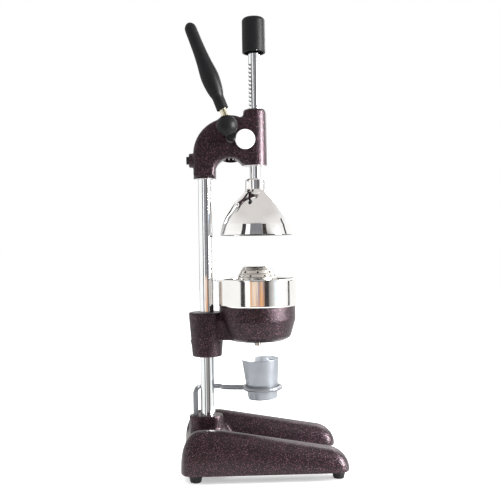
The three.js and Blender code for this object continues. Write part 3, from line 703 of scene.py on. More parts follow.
@dataclass(frozen=True)
class HammeredPaint:
    """Dark plum hammered paint: small rounded dimples with paler metal flecks on their crowns.

    Between each pair of heights in bare_bands, in millimetres, a machined end shows bare metal.
    """

    name: str = "hammered_paint"
    bare_bands: tuple = ()
    cell: float = 1.7 * MM
    depth: float = 0.2 * MM
    ground: tuple = (0.006, 0.001, 0.003)
    body: tuple = (0.027, 0.008, 0.014)
    fleck: tuple = (0.22, 0.12, 0.16)
    bare: tuple = (0.55, 0.55, 0.54)

    def bare_ends(self, graph: Graph) -> Socket:
        """Gives 1 on faces in the bare bands that look down, and 0 elsewhere.

        Args:
            graph: The material's nodes.

        Returns:
            The value socket.
        """
        height = graph.part(graph.place, "Z")
        mask = None
        for low, high in self.bare_bands:
            both = graph.sum("MULTIPLY", graph.sum("GREATER_THAN", height, low * MM),
                             graph.sum("LESS_THAN", height, high * MM))
            mask = graph.sum("MAXIMUM", mask, both) if mask else both
        return graph.sum("MULTIPLY", mask, graph.sum("LESS_THAN", graph.part(graph.facing, "Z"), -0.9))

    def material(self) -> Material:
        """Builds the paint.

        The dimples are cells whose places are warped by a slow noise. A cell's crown times a fine
        noise and slow patches gives the level that colour, roughness and metal follow.

        Returns:
            The material.
        """
        graph = Graph(bpy.data.materials.new(self.name))
        slow = {"Vector": graph.place, "Scale": 0.35 / self.cell, "Detail": 2.0}
        warp = graph.add("ShaderNodeTexNoise", slow).outputs["Color"]
        drift = graph.add("ShaderNodeVectorMath", {0: warp, "Scale": self.cell * 1.1}, operation="SCALE")
        cells = graph.add("ShaderNodeTexVoronoi", {
            "Vector": graph.arrow("ADD", graph.place, drift.outputs["Vector"]), "Scale": 1 / self.cell,
            "Smoothness": 0.6, "Randomness": 1.0,
        }, feature="SMOOTH_F1")
        crown = graph.ramp(cells.outputs["Distance"], [(0.08, 1.0), (0.62, 0.0)])
        patches = graph.spread(graph.noise(0.09 / self.cell, 3.0), 0.6, 1.45)
        grain = graph.noise(2.2 / self.cell, 1.0)
        level = graph.sum("MULTIPLY", graph.sum("MULTIPLY", crown, grain), patches)
        colour = graph.ramp(level, [(0.06, self.ground), (0.26, self.body), (0.62, self.fleck)])
        if self.bare_bands:
            colour = graph.mix(self.bare_ends(graph), colour, self.bare)
        return graph.finish(Base_Color=colour, Metallic=graph.spread(level, 0.5, 1.0),
                            Roughness=graph.spread(level, 0.42, 0.28), Coat_Weight=0.12,
                            Coat_Roughness=0.22, Normal=graph.bump(crown, self.depth, 1.0))


@dataclass(frozen=True)
class PlatedMetal:
    """A plated or polished metal: faint drawn lines, faint clouding, and a bright mirror.

    Its inside, or the flanks of its teeth, can take painted shade: a dark, rougher face where shadow falls.
    """

    name: str
    colour: tuple
    rough: float
    lines: tuple = (1.0, 1.0, 1.0)
    line_size: float = 0.4 * MM
    depth: float = 0.004 * MM
    clouds: float = 0.35
    shade_painted_on: PaintedShade = PaintedShade.NOWHERE
    # The colour of the painted shade.
    painted_shade_colour: tuple = (0.10, 0.10, 0.10)

    def material(self) -> Material:
        """Builds the metal.

        Returns:
            The material.
        """
        graph = Graph(bpy.data.materials.new(self.name))
        drawn = graph.noise(1 / self.line_size, 2.0, graph.stretched(self.lines))
        cloud = graph.noise(1 / (26 * MM), 3.0)
        tint = graph.ramp(cloud, [(0.3, tuple(0.93 * c for c in self.colour)), (0.7, self.colour)])
        rough = graph.spread(cloud, self.rough * (1 - self.clouds), self.rough * (1 + self.clouds))
        # Painted shade: the bell's inside or the rack's tooth flanks are darkened where shadow falls, and
        # made rougher.
        if self.shade_painted_on is not PaintedShade.NOWHERE:
            mask = graph.inward() if self.shade_painted_on is PaintedShade.INSIDE else graph.flanks()
            tint = graph.mix(mask, tint, self.painted_shade_colour)
            rough = graph.sum("ADD", rough, graph.spread(mask, 0.0, 0.35))
        return graph.finish(Base_Color=tint, Metallic=1.0, Roughness=rough,
                            Normal=graph.bump(drawn, self.depth))


@dataclass(frozen=True)
class MouldedPlastic:
    """Moulded plastic, rubber or a satin paint: a fine grain, faint flow clouds and a satin face.

    Faces that look towards the rod's axis take the inside colour, if there is one.
    """

    name: str
    colour: tuple
    rough: float
    grain: float = 0.45 * MM
    depth: float = 0.03 * MM
    metal: float = 0.0
    coat: float = 0.0
    shine: float = 0.5
    inside: tuple = ()

    def material(self) -> Material:
        """Builds the plastic.

        Returns:
            The material.
        """
        graph = Graph(bpy.data.materials.new(self.name))
        fine = graph.noise(1 / self.grain, 3.0)
        cloud = graph.noise(1 / (18 * MM), 2.0)
        tint = graph.ramp(cloud, [(0.3, tuple(0.88 * c for c in self.colour)), (0.7, self.colour)])
        if self.inside:
            tint = graph.mix(graph.inward(), tint, self.inside)
        rough = graph.spread(cloud, self.rough * 0.88, self.rough * 1.12)
        return graph.finish(Base_Color=tint, Metallic=self.metal, Roughness=rough, Coat_Weight=self.coat,
                            Coat_Roughness=0.15, Specular_IOR_Level=self.shine,
                            Normal=graph.bump(fine, self.depth))


class Finish(Enum):
    """The finishes of the press, each named as its slot in the record."""

    PAINT = HammeredPaint()
    HEAD_PAINT = HammeredPaint(bare_bands=((443.9, 444.6), (463.9, 464.6)))
    CHROME = PlatedMetal("chrome_plate", (0.86, 0.87, 0.88), 0.045, (1, 1, 0.06))
    # The bell's inside takes painted shade.
    BELL = PlatedMetal("chrome_plate", (0.86, 0.85, 0.84), 0.05, (1, 1, 0.06), shade_painted_on=PaintedShade.INSIDE)
    # The rack's tooth flanks take painted shadow, as of the gaps between teeth.
    RACK = PlatedMetal("chrome_plate", (0.86, 0.87, 0.88), 0.05, (1, 1, 0.06), shade_painted_on=PaintedShade.FLANKS)
    SATIN = PlatedMetal("stainless_steel", (0.60, 0.57, 0.53), 0.27, (0.12, 0.12, 1), depth=0.008 * MM)
    STAINLESS = PlatedMetal("stainless_steel", (0.84, 0.83, 0.81), 0.09, (0.12, 0.12, 1), depth=0.008 * MM)
    STEEL = PlatedMetal("plain_steel", (0.52, 0.52, 0.51), 0.3, depth=0.02 * MM)
    NICKEL = PlatedMetal("nickel_plate", (0.74, 0.69, 0.52), 0.16, (1, 1, 0.1))
    BLACK = MouldedPlastic("black_plastic", (0.007, 0.007, 0.008), 0.46, shine=0.14)
    RUBBER = MouldedPlastic("foot_rubber", (0.008, 0.008, 0.008), 0.62, shine=0.3, depth=0.05 * MM)
    WHITE = MouldedPlastic("white_plastic", (0.88, 0.90, 0.90), 0.32, depth=0.01 * MM)
    GREY = MouldedPlastic("grey_paint", (0.20, 0.21, 0.23), 0.34, grain=0.9 * MM, metal=0.55, coat=0.3)
    SILVER = MouldedPlastic("silver_plastic", (0.29, 0.31, 0.34), 0.34, metal=0.5, inside=(0.80, 0.83, 0.87))


made: dict = {}


def dress(piece: Piece, material: Material) -> None:
    """Puts one material on a piece."""
    piece.data.materials.clear()
    piece.data.materials.append(material)


def material_of(finish: Finish) -> Material:
    """Gives a finish's material, built once.

    Args:
        finish: The finish.

    Returns:
        The material.
    """
    if finish not in made:
        made[finish] = finish.value.material()
    return made[finish]


def settle(piece: Piece, node: str, body: Body, finish: Finish) -> None:
    """Dresses a piece that stands for a node, and makes it ride.

    Args:
        piece: The new piece.
        node: The node that it stands for.
        body: The body that it rides on.
        finish: Its finish.
    """
    dress(piece, material_of(finish))
    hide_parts(node)
    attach(piece, body.value)
    LOG.info("%s stands for %s, %d faces", piece.name, node, len(piece.data.polygons))


def redress(node: str, finish: Finish) -> None:
    """Gives a node that stays a finish in its material slots.

    Args:
        node: The node's name.
        finish: Its finish.
    """
    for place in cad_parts[node].material_slots:
        place.material = material_of(finish)
    LOG.info("%s keeps its own shape", node)


# The press


@dataclass
class Base:
    """The base casting on its four feet. Sizes are in millimetres."""

    length: float = 244.0
    leg_width: float = 50.0
    leg_spread: float = 70.0
    underside: float = 13.5
    rear_top: float = 73.5
    front_top: float = 46.0
    level_run: float = 57.0
    tip_run: float = 27.0
    tip_lip: float = 4.0
    rear_lip: float = 12.0
    plan_round: float = 19.0
    bridge_length: float = 78.0
    bridge_top: float = 56.0
    bridge_end_top: float = 66.0
    wall: float = 6.0
    socket_top: float = 81.0
    socket_radius: float = 16.0
    socket_skirt: float = 9.0
    socket_foot: float = 52.0
    socket_ahead: float = 23.0
    socket_behind: float = 10.0
    stem_radius: float = 17.0
    bore_bottom: float = 24.0
    post_bore: float = 4.4
    post_bore_bottom: float = 55.7
    overrun: float = 9.0
    foot_top: float = 10.5
    foot_bottom: float = 7.8
    foot_edge: float = 1.5
    foot_gap: float = 0.3
    bead: float = 1.2
    bead_inset: float = 0.9
    bead_edge: float = 0.4
    grain: float = 1.5
    passes: int = 6

    def leg(self, side: Side, inset: float, stations: int = 72, steps: int = 40) -> Piece:
        """Makes one leg: arches across Y, level at the rear and falling to a round tip.

        The stations lie closer together at both ends, by half a cosine. At each, the height is
        the lip plus the ridge's rise times the fuller of the two ends' quarter circles.

        Args:
            side: Which leg.
            inset: How far inside the casting's face, for the hollow.
            stations: Sections along the leg.
            steps: Pieces in each section.

        Returns:
            The leg.
        """
        rear, front = -self.length / 2 + inset, self.length / 2 - inset
        share = (1 - np.cos(math.pi * (0.004 + 0.992 * np.linspace(0, 1, stations + 1)))) / 2
        x = rear + (front - rear) * share
        slope_run = self.length - self.level_run - self.tip_run
        fall = np.clip(x + self.length / 2 - self.level_run, 0, None) / slope_run
        ridge = self.rear_top - (self.rear_top - self.front_top) * fall - inset
        fill = np.minimum(fullness(x - rear, self.tip_run), fullness(front - x, self.tip_run))
        lip = np.where(x < 0, self.rear_lip, self.tip_lip)
        height = lip + (ridge - self.underside - lip) * fill
        plan = np.minimum(fullness(x - rear, self.plan_round), fullness(front - x, self.plan_round))
        half_width = self.leg_width / 2 - inset - self.plan_round * (1 - plan)
        middle = [side.value * self.leg_spread, self.underside]
        return lofted("leg", [placed(arch_section(half, tall, steps, inset) + middle, 0, place)
                              for place, half, tall in zip(x, half_width, height)])

    def bridge(self, inset: float, stations: int = 40, steps: int = 48) -> Piece:
        """Makes the saddle between the legs, whose top is a parabola that is lowest in the middle.

        Args:
            inset: How far inside the casting's face, for the hollow.
            stations: Sections across the press.
            steps: Pieces in each section.

        Returns:
            The saddle.
        """
        middle = [(self.bridge_length - self.length) / 2, self.underside]
        rings = []
        for share in np.linspace(-1, 1, stations + 1):
            top = self.bridge_top + (self.bridge_end_top - self.bridge_top) * share * share - inset
            section = arch_section(self.bridge_length / 2 - inset, top - self.underside, steps, inset)
            rings.append(placed(section + middle, 1, share * self.leg_spread))
        return lofted("bridge", rings)

    def socket(self, steps: int = 12) -> Piece:
        """Makes the column's socket: an upright obround on a skirt that flares by a quarter circle.

        Args:
            steps: Pieces in the skirt's quarter, and half of those in each end of the obround.

        Returns:
            The socket.
        """
        ends = [(COLUMN_X + self.socket_ahead - self.socket_radius, -math.pi / 2, 1),
                (POST_X - self.socket_behind + self.socket_radius, math.pi / 2, 0)]
        turn = np.linspace(0, math.pi / 2, steps + 1)
        levels = [(self.socket_foot - self.socket_skirt, self.socket_skirt)]
        levels += list(zip(self.socket_foot + self.socket_skirt * np.sin(turn),
                           self.socket_skirt * (1 - np.sin(turn))))
        levels.append((self.socket_top, 0.0))
        rings = []
        for z, flare in levels:
            ring = []
            for centre, start, spreads in ends:
                angle = start + np.linspace(0, math.pi, 2 * steps + 1)
                reach = self.socket_radius + flare * spreads
                ring.append(np.stack([centre + reach * np.cos(angle),
                                      (self.socket_radius + flare) * np.sin(angle)], axis=1))
            rings.append(placed(np.vstack(ring), 2, z))
        return lofted("socket", rings)

    def foot(self, node: str) -> None:
        """Builds and dresses one foot, tapered towards the table.

        Args:
            node: The foot's node.
        """
        low, high = np.array(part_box(node)) / MM
        middle = (low + high) / 2
        top = self.underside - self.foot_gap
        profile = rounded([
            (0, 0, 0), (self.foot_bottom, 0, self.foot_edge),
            (self.foot_top, top - self.bead, self.bead_edge),
            (self.foot_top - self.bead_inset, top, self.bead_edge), (0, top, 0)], 5)
        pad = turned(f"{node}_pad", profile, (middle[0], middle[1], 0), around=MEDIUM)
        settle(pad, node, Body.STAND, Finish.RUBBER)

    def build(self) -> None:
        """Builds and dresses the casting and its feet."""
        body = combine(self.leg(Side.NEAR, 0),
                       [self.leg(Side.FAR, 0), self.bridge(0), self.socket()], Work.ADD)
        hollow = combine(self.leg(Side.NEAR, self.wall),
                         [self.leg(Side.FAR, self.wall), self.bridge(self.wall)], Work.ADD)
        hollow = combine(hollow, [upright(self.stem_radius, COLUMN_X, 0, self.socket_top)], Work.CUT)
        body = cast(combine(body, [hollow], Work.CUT), "base_body", self.grain, self.passes)
        top = self.socket_top + self.overrun
        body = combine(body, [upright(COLUMN_BORE, COLUMN_X, self.bore_bottom, top),
                              upright(self.post_bore, POST_X, self.post_bore_bottom, top)], Work.CUT)
        settle(body, "base_casting", Body.STAND, Finish.PAINT)
        for place in ("front_near", "front_far", "rear_near", "rear_far"):
            self.foot(f"foot_{place}")


@dataclass
class Column:
    """The chrome column. Sizes are in millimetres."""

    radius: float = 11.0
    wall: float = 2.0

    def build(self) -> None:
        """Builds and dresses the tube."""
        low, high = np.array(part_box("column_tube"))[:, 2] / MM
        inner = self.radius - self.wall
        profile = [(inner, low), (self.radius, low), (self.radius, high), (inner, high), (inner, low)]
        tube = turned("column_chrome", profile, (COLUMN_X, 0, 0))
        settle(tube, "column_tube", Body.STAND, Finish.CHROME)


@dataclass
class GearCover:
    """The cover over the gear: a flat disc with a hub and an ear on each side. Sizes are in millimetres."""

    radius: float = 34.2
    inner_face: float = 18.3
    outer_face: float = 21.3
    back_edge: float = 0.3
    edge: float = 1.0
    hub_root: float = 14.0
    hub_fillet: float = 1.5
    hub_radius: float = 13.0
    hub_face: float = 26.3
    ear_reach: float = 38.0
    ear_radius: float = 6.0
    ear_face: float = 18.35
    ear_thickness: float = 1.95
    screw_hole: float = 1.8
    shaft_hole: float = 5.9
    shaft_hole_end: float = 23.3
    holes_start: float = 15.0
    holes_end: float = 25.0

    def build(self) -> None:
        """Builds and dresses the cover."""
        profile = rounded([
            (0, self.inner_face, 0), (self.radius, self.inner_face, self.back_edge),
            (self.radius, self.outer_face, self.edge), (self.hub_root, self.outer_face, self.hub_fillet),
            (self.hub_radius, self.hub_face, self.edge), (0, self.hub_face, 0)])
        disc = turned("gear_cover_plate", profile, (PINION_X, 0, PINION_Z), ACROSS)
        end = circle(self.ear_radius, -math.pi / 2, math.pi / 2, 25) + [self.ear_reach, 0]
        ears = slab("ears", np.vstack([end, -end]) + [PINION_X, PINION_Z], self.ear_face,
                    self.ear_face + self.ear_thickness)
        holes = [crosswise(self.screw_hole, PINION_X + side * self.ear_reach, PINION_Z, self.holes_start,
                           self.holes_end, SMALL) for side in (-1, 1)]
        holes.append(crosswise(self.shaft_hole, PINION_X, PINION_Z, self.holes_start, self.shaft_hole_end))
        plate = combine(combine(disc, [ears], Work.ADD), holes, Work.CUT)
        settle(plate, "gear_cover", Body.STAND, Finish.PAINT)


@dataclass
class WindowPlug:
    """The white plug over the gear window. Sizes are in millimetres."""

    behind_rod: float = 16.0
    below_shaft: float = 3.0
    stud_radius: float = 6.0
    stud_end: float = -14.3
    stud_edge: float = 0.5
    radius: float = 15.2
    back: float = -18.3
    back_edge: float = 0.2
    front: float = -20.7
    edge: float = 1.2

    def build(self) -> None:
        """Builds and dresses the plug."""
        profile = rounded([
            (0, self.stud_end, 0), (self.stud_radius, self.stud_end, self.stud_edge),
            (self.stud_radius, self.back, 0), (self.radius, self.back, self.back_edge),
            (self.radius, self.front, self.edge), (0, self.front, 0)])
        place = (ROD_X - self.behind_rod, 0, PINION_Z - self.below_shaft)
        plug = turned("window_plug_face", profile, place, ACROSS)
        settle(plug, "gear_window_plug", Body.STAND, Finish.WHITE)


@dataclass
class Head:
    """The head casting with its gear cover, plug and shaft bush. Sizes are in millimetres."""

    half: float = 18.0
    edge: float = 7.0
    corner: float = 8.0
    dip_corner: float = 20.0
    heel_run: float = 12.0
    crown_radius: float = 56.0
    crown_z: float = 481.0
    arch_radius: float = 22.7
    arch_z: float = 453.0
    sleeve_radius: float = 17.4
    sleeve_bottom: float = 444.0
    sleeve_bore_top: float = 484.0
    barrel_radius: float = 18.0
    barrel_bottom: float = 464.0
    barrel_top: float = 551.0
    barrel_edge: float = 4.0
    rod_bore: float = 9.4
    rod_bore_bottom: float = 440.0
    rod_bore_top: float = 560.0
    rise_half: float = 11.0
    rise_inset: float = 2.0
    rise_depth: float = 7.0
    housing_radius: float = 34.7
    housing_edge: float = 5.0
    housing_gap: float = 0.02
    chamber_radius: float = 32.2
    chamber_half: float = 9.5
    shaft_bore: float = 8.6
    boss_radius: float = 11.0
    boss_z: float = 473.0
    boss_end: float = -107.5
    boss_edge: float = 1.5
    screw_bore: float = 4.3
    dip_angle: float = math.radians(68)
    inset: float = 1.0
    spare: float = 3.0
    trim_radius: float = 2.0
    trim: float = 9.0
    grain: float = 1.0
    passes: int = 7

    def dip(self) -> list:
        """Gives the low point between the crown and the barrel, on the housing's rim."""
        return [PINION_X + self.housing_radius * math.cos(self.dip_angle),
                PINION_Z + self.housing_radius * math.sin(self.dip_angle)]

    def side_view(self) -> np.ndarray:
        """Draws the plate's outline: heel, round crown, dip, nose, and the arch between column and rod.

        Returns:
            Rows of X and Z, clockwise from the heel.
        """
        rear, dip = ARCH_X - self.crown_radius, self.dip()
        right = ROD_X + self.edge
        foot, heel = self.barrel_bottom + self.inset, self.sleeve_bottom + self.inset
        crown = circle(self.crown_radius, math.pi, math.pi / 2, 49) + [ARCH_X, self.crown_z]
        start = rounded([(rear + self.heel_run, heel, 0), (rear, heel, self.corner),
                         (rear, self.crown_z - self.inset, 0)])
        rest = rounded([[*crown[-1], 0], [*dip, self.dip_corner], (right, dip[1], self.corner),
                        (right, foot, self.corner), (ARCH_X + self.arch_radius, foot, 0)], 10)
        spring = math.asin((foot - self.arch_z) / self.arch_radius)
        arch = circle(self.arch_radius, spring, math.pi, 49) + [ARCH_X, self.arch_z]
        outline = np.vstack([start, crown[:-1], rest[:-1], arch, [[ARCH_X - self.arch_radius, heel]]])
        return outline[np.linalg.norm(np.roll(outline, -1, axis=0) - outline, axis=1) > 1e-6]

    def web(self) -> Piece:
        """Makes the head's plate, whose rim is rounded on both faces.

        Each ring is the side view drawn in along its own normals, which at a corner are longer by
        1 / cos(half the turn), and at most twice as long.

        Returns:
            The plate.
        """
        outline = self.side_view()
        into, out = outline - np.roll(outline, 1, axis=0), np.roll(outline, -1, axis=0) - outline
        into /= np.linalg.norm(into, axis=1)[:, None]
        out /= np.linalg.norm(out, axis=1)[:, None]
        mean = into + out
        mean /= np.linalg.norm(mean, axis=1)[:, None]
        inward = np.stack([mean[:, 1], -mean[:, 0]], axis=1)
        inward /= np.clip((mean * into).sum(axis=1), 0.5, 1)[:, None]
        return lofted("web", [placed(outline + inward * self.edge * share, 1, y)
                              for share, y in rim_rings(self.half, self.edge)])

    def housing(self) -> Piece:
        """Makes the round gear housing, which the arch cuts into from below.

        In each direction from the shaft the rim is as far out as the disc, or as the arch's circle
        where that comes first: b - sqrt(b**2 - c), with b the arch centre's distance along the
        direction and c the centre's distance squared less the circle's radius squared.

        Returns:
            The housing.
        """
        way = circle(1.0, closing=False)
        centre = np.array([ARCH_X - PINION_X, self.arch_z - PINION_Z])
        rings = []
        for share, y in rim_rings(self.half - self.housing_gap, self.housing_edge):
            draw = self.housing_edge * share
            arch = self.arch_radius + draw * self.edge / self.housing_edge
            b, c = way @ centre, centre @ centre - arch**2
            inside = b**2 - c
            cut = np.where((inside > 0) & (b > 0), b - np.sqrt(np.maximum(inside, 0)), np.inf)
            ring = way * np.minimum(self.housing_radius - draw, cut)[:, None] + [PINION_X, PINION_Z]
            rings.append(placed(ring, 1, y))
        return lofted("housing", rings)

    def rise(self) -> Piece:
        """Makes the hollow sweep from the crown up to the barrel's top, a parabola in side view.

        Returns:
            The sweep.
        """
        dip_x, dip_z = self.dip()
        rear, top = ROD_X - self.barrel_radius, self.barrel_top - self.barrel_edge
        t = np.linspace(0, 1, 17)[:, None]
        sweep = ((1 - t) ** 2 * [dip_x, dip_z] + 2 * t * (1 - t) * [rear, dip_z]
                 + t**2 * [rear + self.rise_inset, top])
        low = dip_z - self.rise_depth
        return slab("rise", np.vstack([[dip_x, low], sweep, [ROD_X, top], [ROD_X, low]]),
                    -self.rise_half, self.rise_half)

    def build(self) -> None:
        """Builds and dresses the casting and what is fixed to it."""
        low, foot = self.barrel_bottom - self.spare, self.sleeve_bottom - self.trim
        profile = rounded([
            (0, low, 0), (self.barrel_radius, low, 0),
            (self.barrel_radius, self.barrel_top, self.barrel_edge), (0, self.barrel_top, 0)])
        barrel = turned("barrel", profile, (ROD_X, 0, 0))
        sleeve = upright(self.sleeve_radius, COLUMN_X, self.sleeve_bottom - self.spare, self.crown_z, FINE)
        boss = lengthwise(self.boss_radius, self.boss_z, self.boss_end, COLUMN_X, self.boss_edge)
        parts = [self.web(), self.housing(), self.rise(), sleeve, barrel, boss]
        body = combine(cast(heap(parts, "head"), "head_body", self.grain, self.passes), [
            upright(self.sleeve_radius + self.trim_radius, COLUMN_X, foot, self.sleeve_bottom, FINE),
            upright(self.barrel_radius + self.trim_radius, ROD_X, self.barrel_bottom - self.trim,
                    self.barrel_bottom, FINE),
            upright(COLUMN_BORE, COLUMN_X, foot, self.sleeve_bore_top),
            upright(self.rod_bore, ROD_X, self.rod_bore_bottom, self.rod_bore_top),
            crosswise(self.chamber_radius, PINION_X, PINION_Z, -self.chamber_half, self.half + self.spare),
            crosswise(self.shaft_bore, PINION_X, PINION_Z, -self.half - self.spare, 0),
            lengthwise(self.screw_bore, self.boss_z, self.boss_end - self.spare, COLUMN_X),
        ], Work.CUT)
        settle(body, "head_casting", Body.STAND, Finish.HEAD_PAINT)
        GearCover().build()
        WindowPlug().build()
        for node in ("cover_screw_1", "cover_screw_2", "shaft_bush"):
            redress(node, Finish.STEEL)
        redress("head_clamp_screw", Finish.BLACK)


@dataclass
class Plunger:
    """The toothed rod with its cap above and its dome below. Sizes are in millimetres."""

    radius: float = 9.0
    spigot: float = 6.0
    low: float = 405.0
    shoulder: float = 430.0
    high: float = 680.0
    module: float = 2.0
    addendum: float = 1.6
    dedendum: float = 2.0
    flank_gap: float = 0.2
    pressure: float = math.radians(20)
    toothed_low: float = 482.0
    toothed_high: float = 621.0
    bore: float = 9.3
    rim_radius: float = 57.6
    rim_z: float = 357.0
    neck_radius: float = 16.3
    neck_flare: float = 0.4
    neck_fillet: float = 3.0
    neck_top: float = 444.0
    neck_edge: float = 4.0
    shoulder_z: float = 427.0
    roof: float = 415.5
    roof_gap: float = 1.0
    wall: float = 2.0
    cap_radius: float = 18.0
    cap_inner: float = 15.0
    cap_low: float = 639.0
    cap_high: float = 693.0
    cap_edge: float = 5.5
    cap_lip: float = 1.0
    cap_hollow: float = 651.0
    cap_gap: float = 0.3

    def rod(self) -> Piece:
        """Makes the rod with the rack cut into its rear.

        At a height z the rack's face lies d(z) behind the axis: the rod's own radius at a crest,
        the root's distance in a gap, and straight flanks between. A point at an angle f from the
        rear then lies at the smaller of the rod's radius and d(z) / cos(f).

        Returns:
            The rod.
        """
        pitch = math.pi * self.module
        root, depth = self.radius - self.addendum - self.dedendum, self.dedendum + self.addendum
        slope = math.tan(self.pressure)
        half = pitch / 4 + self.flank_gap
        narrow, wide = half - self.dedendum * slope, half + self.addendum * slope
        first = -math.floor((PINION_Z - self.toothed_low) / pitch)
        last = math.floor((self.toothed_high - PINION_Z) / pitch)
        heights = [(self.shoulder, self.radius)]
        for i in range(first, last + 1):
            for side in (-1, 1):
                for share in np.linspace(0, 1, 5)[::side]:
                    heights.append((PINION_Z + i * pitch + side * (narrow + (wide - narrow) * share),
                                    root + depth * share))
        heights.append((self.high, self.radius))
        z, face = np.array(heights).T
        way = circle(1.0, closing=False)
        behind = -way[:, 0]
        reach = np.where(behind > 0.02, face[:, None] / np.maximum(behind, 0.02), np.inf)
        reach = np.minimum(reach, self.radius)
        rings = [placed(circle(self.spigot, closing=False) + [ROD_X, 0], 2, height)
                 for height in (self.low, self.shoulder - 0.01)]
        rings += [placed(way * out[:, None] + [ROD_X, 0], 2, height) for out, height in zip(reach, z)]
        return lofted("rod_chrome", rings)

    def dome(self) -> Piece:
        """Makes the bell: a smooth line through points measured on the photograph, turned round the rod.

        The inner face is the outer one moved in by the wall along its own normals.

        Returns:
            The bell with its neck.
        """
        shares = np.array([(1, 0.004), (0.998, 0.025), (0.984, 0.086), (0.955, 0.18), (0.922, 0.271),
                           (0.842, 0.429), (0.726, 0.586), (0.59, 0.743), (0.431, 0.871), (0.33, 0.945)])
        height = self.shoulder_z - self.rim_z
        outer = smooth_line(shares * [self.rim_radius, height] + [0, self.rim_z])
        along = np.gradient(outer, axis=0)
        along /= np.linalg.norm(along, axis=1)[:, None]
        inner = (outer + self.wall * np.stack([-along[:, 1], along[:, 0]], axis=1))[::-1]
        inner = inner[(inner[:, 1] < self.roof - self.roof_gap) & (inner[:, 0] > 10)]
        inner[:, 1] = np.maximum(inner[:, 1], self.rim_z + 0.3)
        neck = rounded([
            (*outer[-1], 0), (self.neck_radius + self.neck_flare, self.shoulder_z, self.neck_fillet),
            (self.neck_radius, self.shoulder_z + self.neck_edge, 0),
            (self.neck_radius, self.neck_top, self.neck_edge), (self.bore, self.neck_top, 0.5),
            (self.bore, self.roof, 0)], 8)
        lip = [(self.rim_radius - share * self.wall, self.rim_z) for share in (0.7, 0.3)]
        profile = np.vstack([outer, neck[1:], inner, lip, outer[:1]])
        return turned("dome_chrome", profile, (ROD_X, 0, 0), around=FINEST)

    def cap(self) -> Piece:
        """Makes the black cap over the rod's end, hollow below.

        Returns:
            The cap.
        """
        seat = self.high + self.cap_gap
        return turned("cap_black", rounded([
            (0, seat, 0), (self.bore, seat, 0), (self.bore, self.cap_hollow, 0),
            (self.cap_inner, self.cap_hollow, 0.5), (self.cap_inner, self.cap_low, 0.6),
            (self.cap_radius, self.cap_low, self.cap_lip), (self.cap_radius, self.cap_high, self.cap_edge),
            (0, self.cap_high, 0)], 8), (ROD_X, 0, 0))

    def build(self) -> None:
        """Builds and dresses the rod, the dome and the cap."""
        settle(self.rod(), "rack_rod", Body.PLUNGER, Finish.RACK)
        settle(self.dome(), "press_dome", Body.PLUNGER, Finish.BELL)
        settle(self.cap(), "rod_cap", Body.PLUNGER, Finish.BLACK)
        redress("dome_nut", Finish.STEEL)


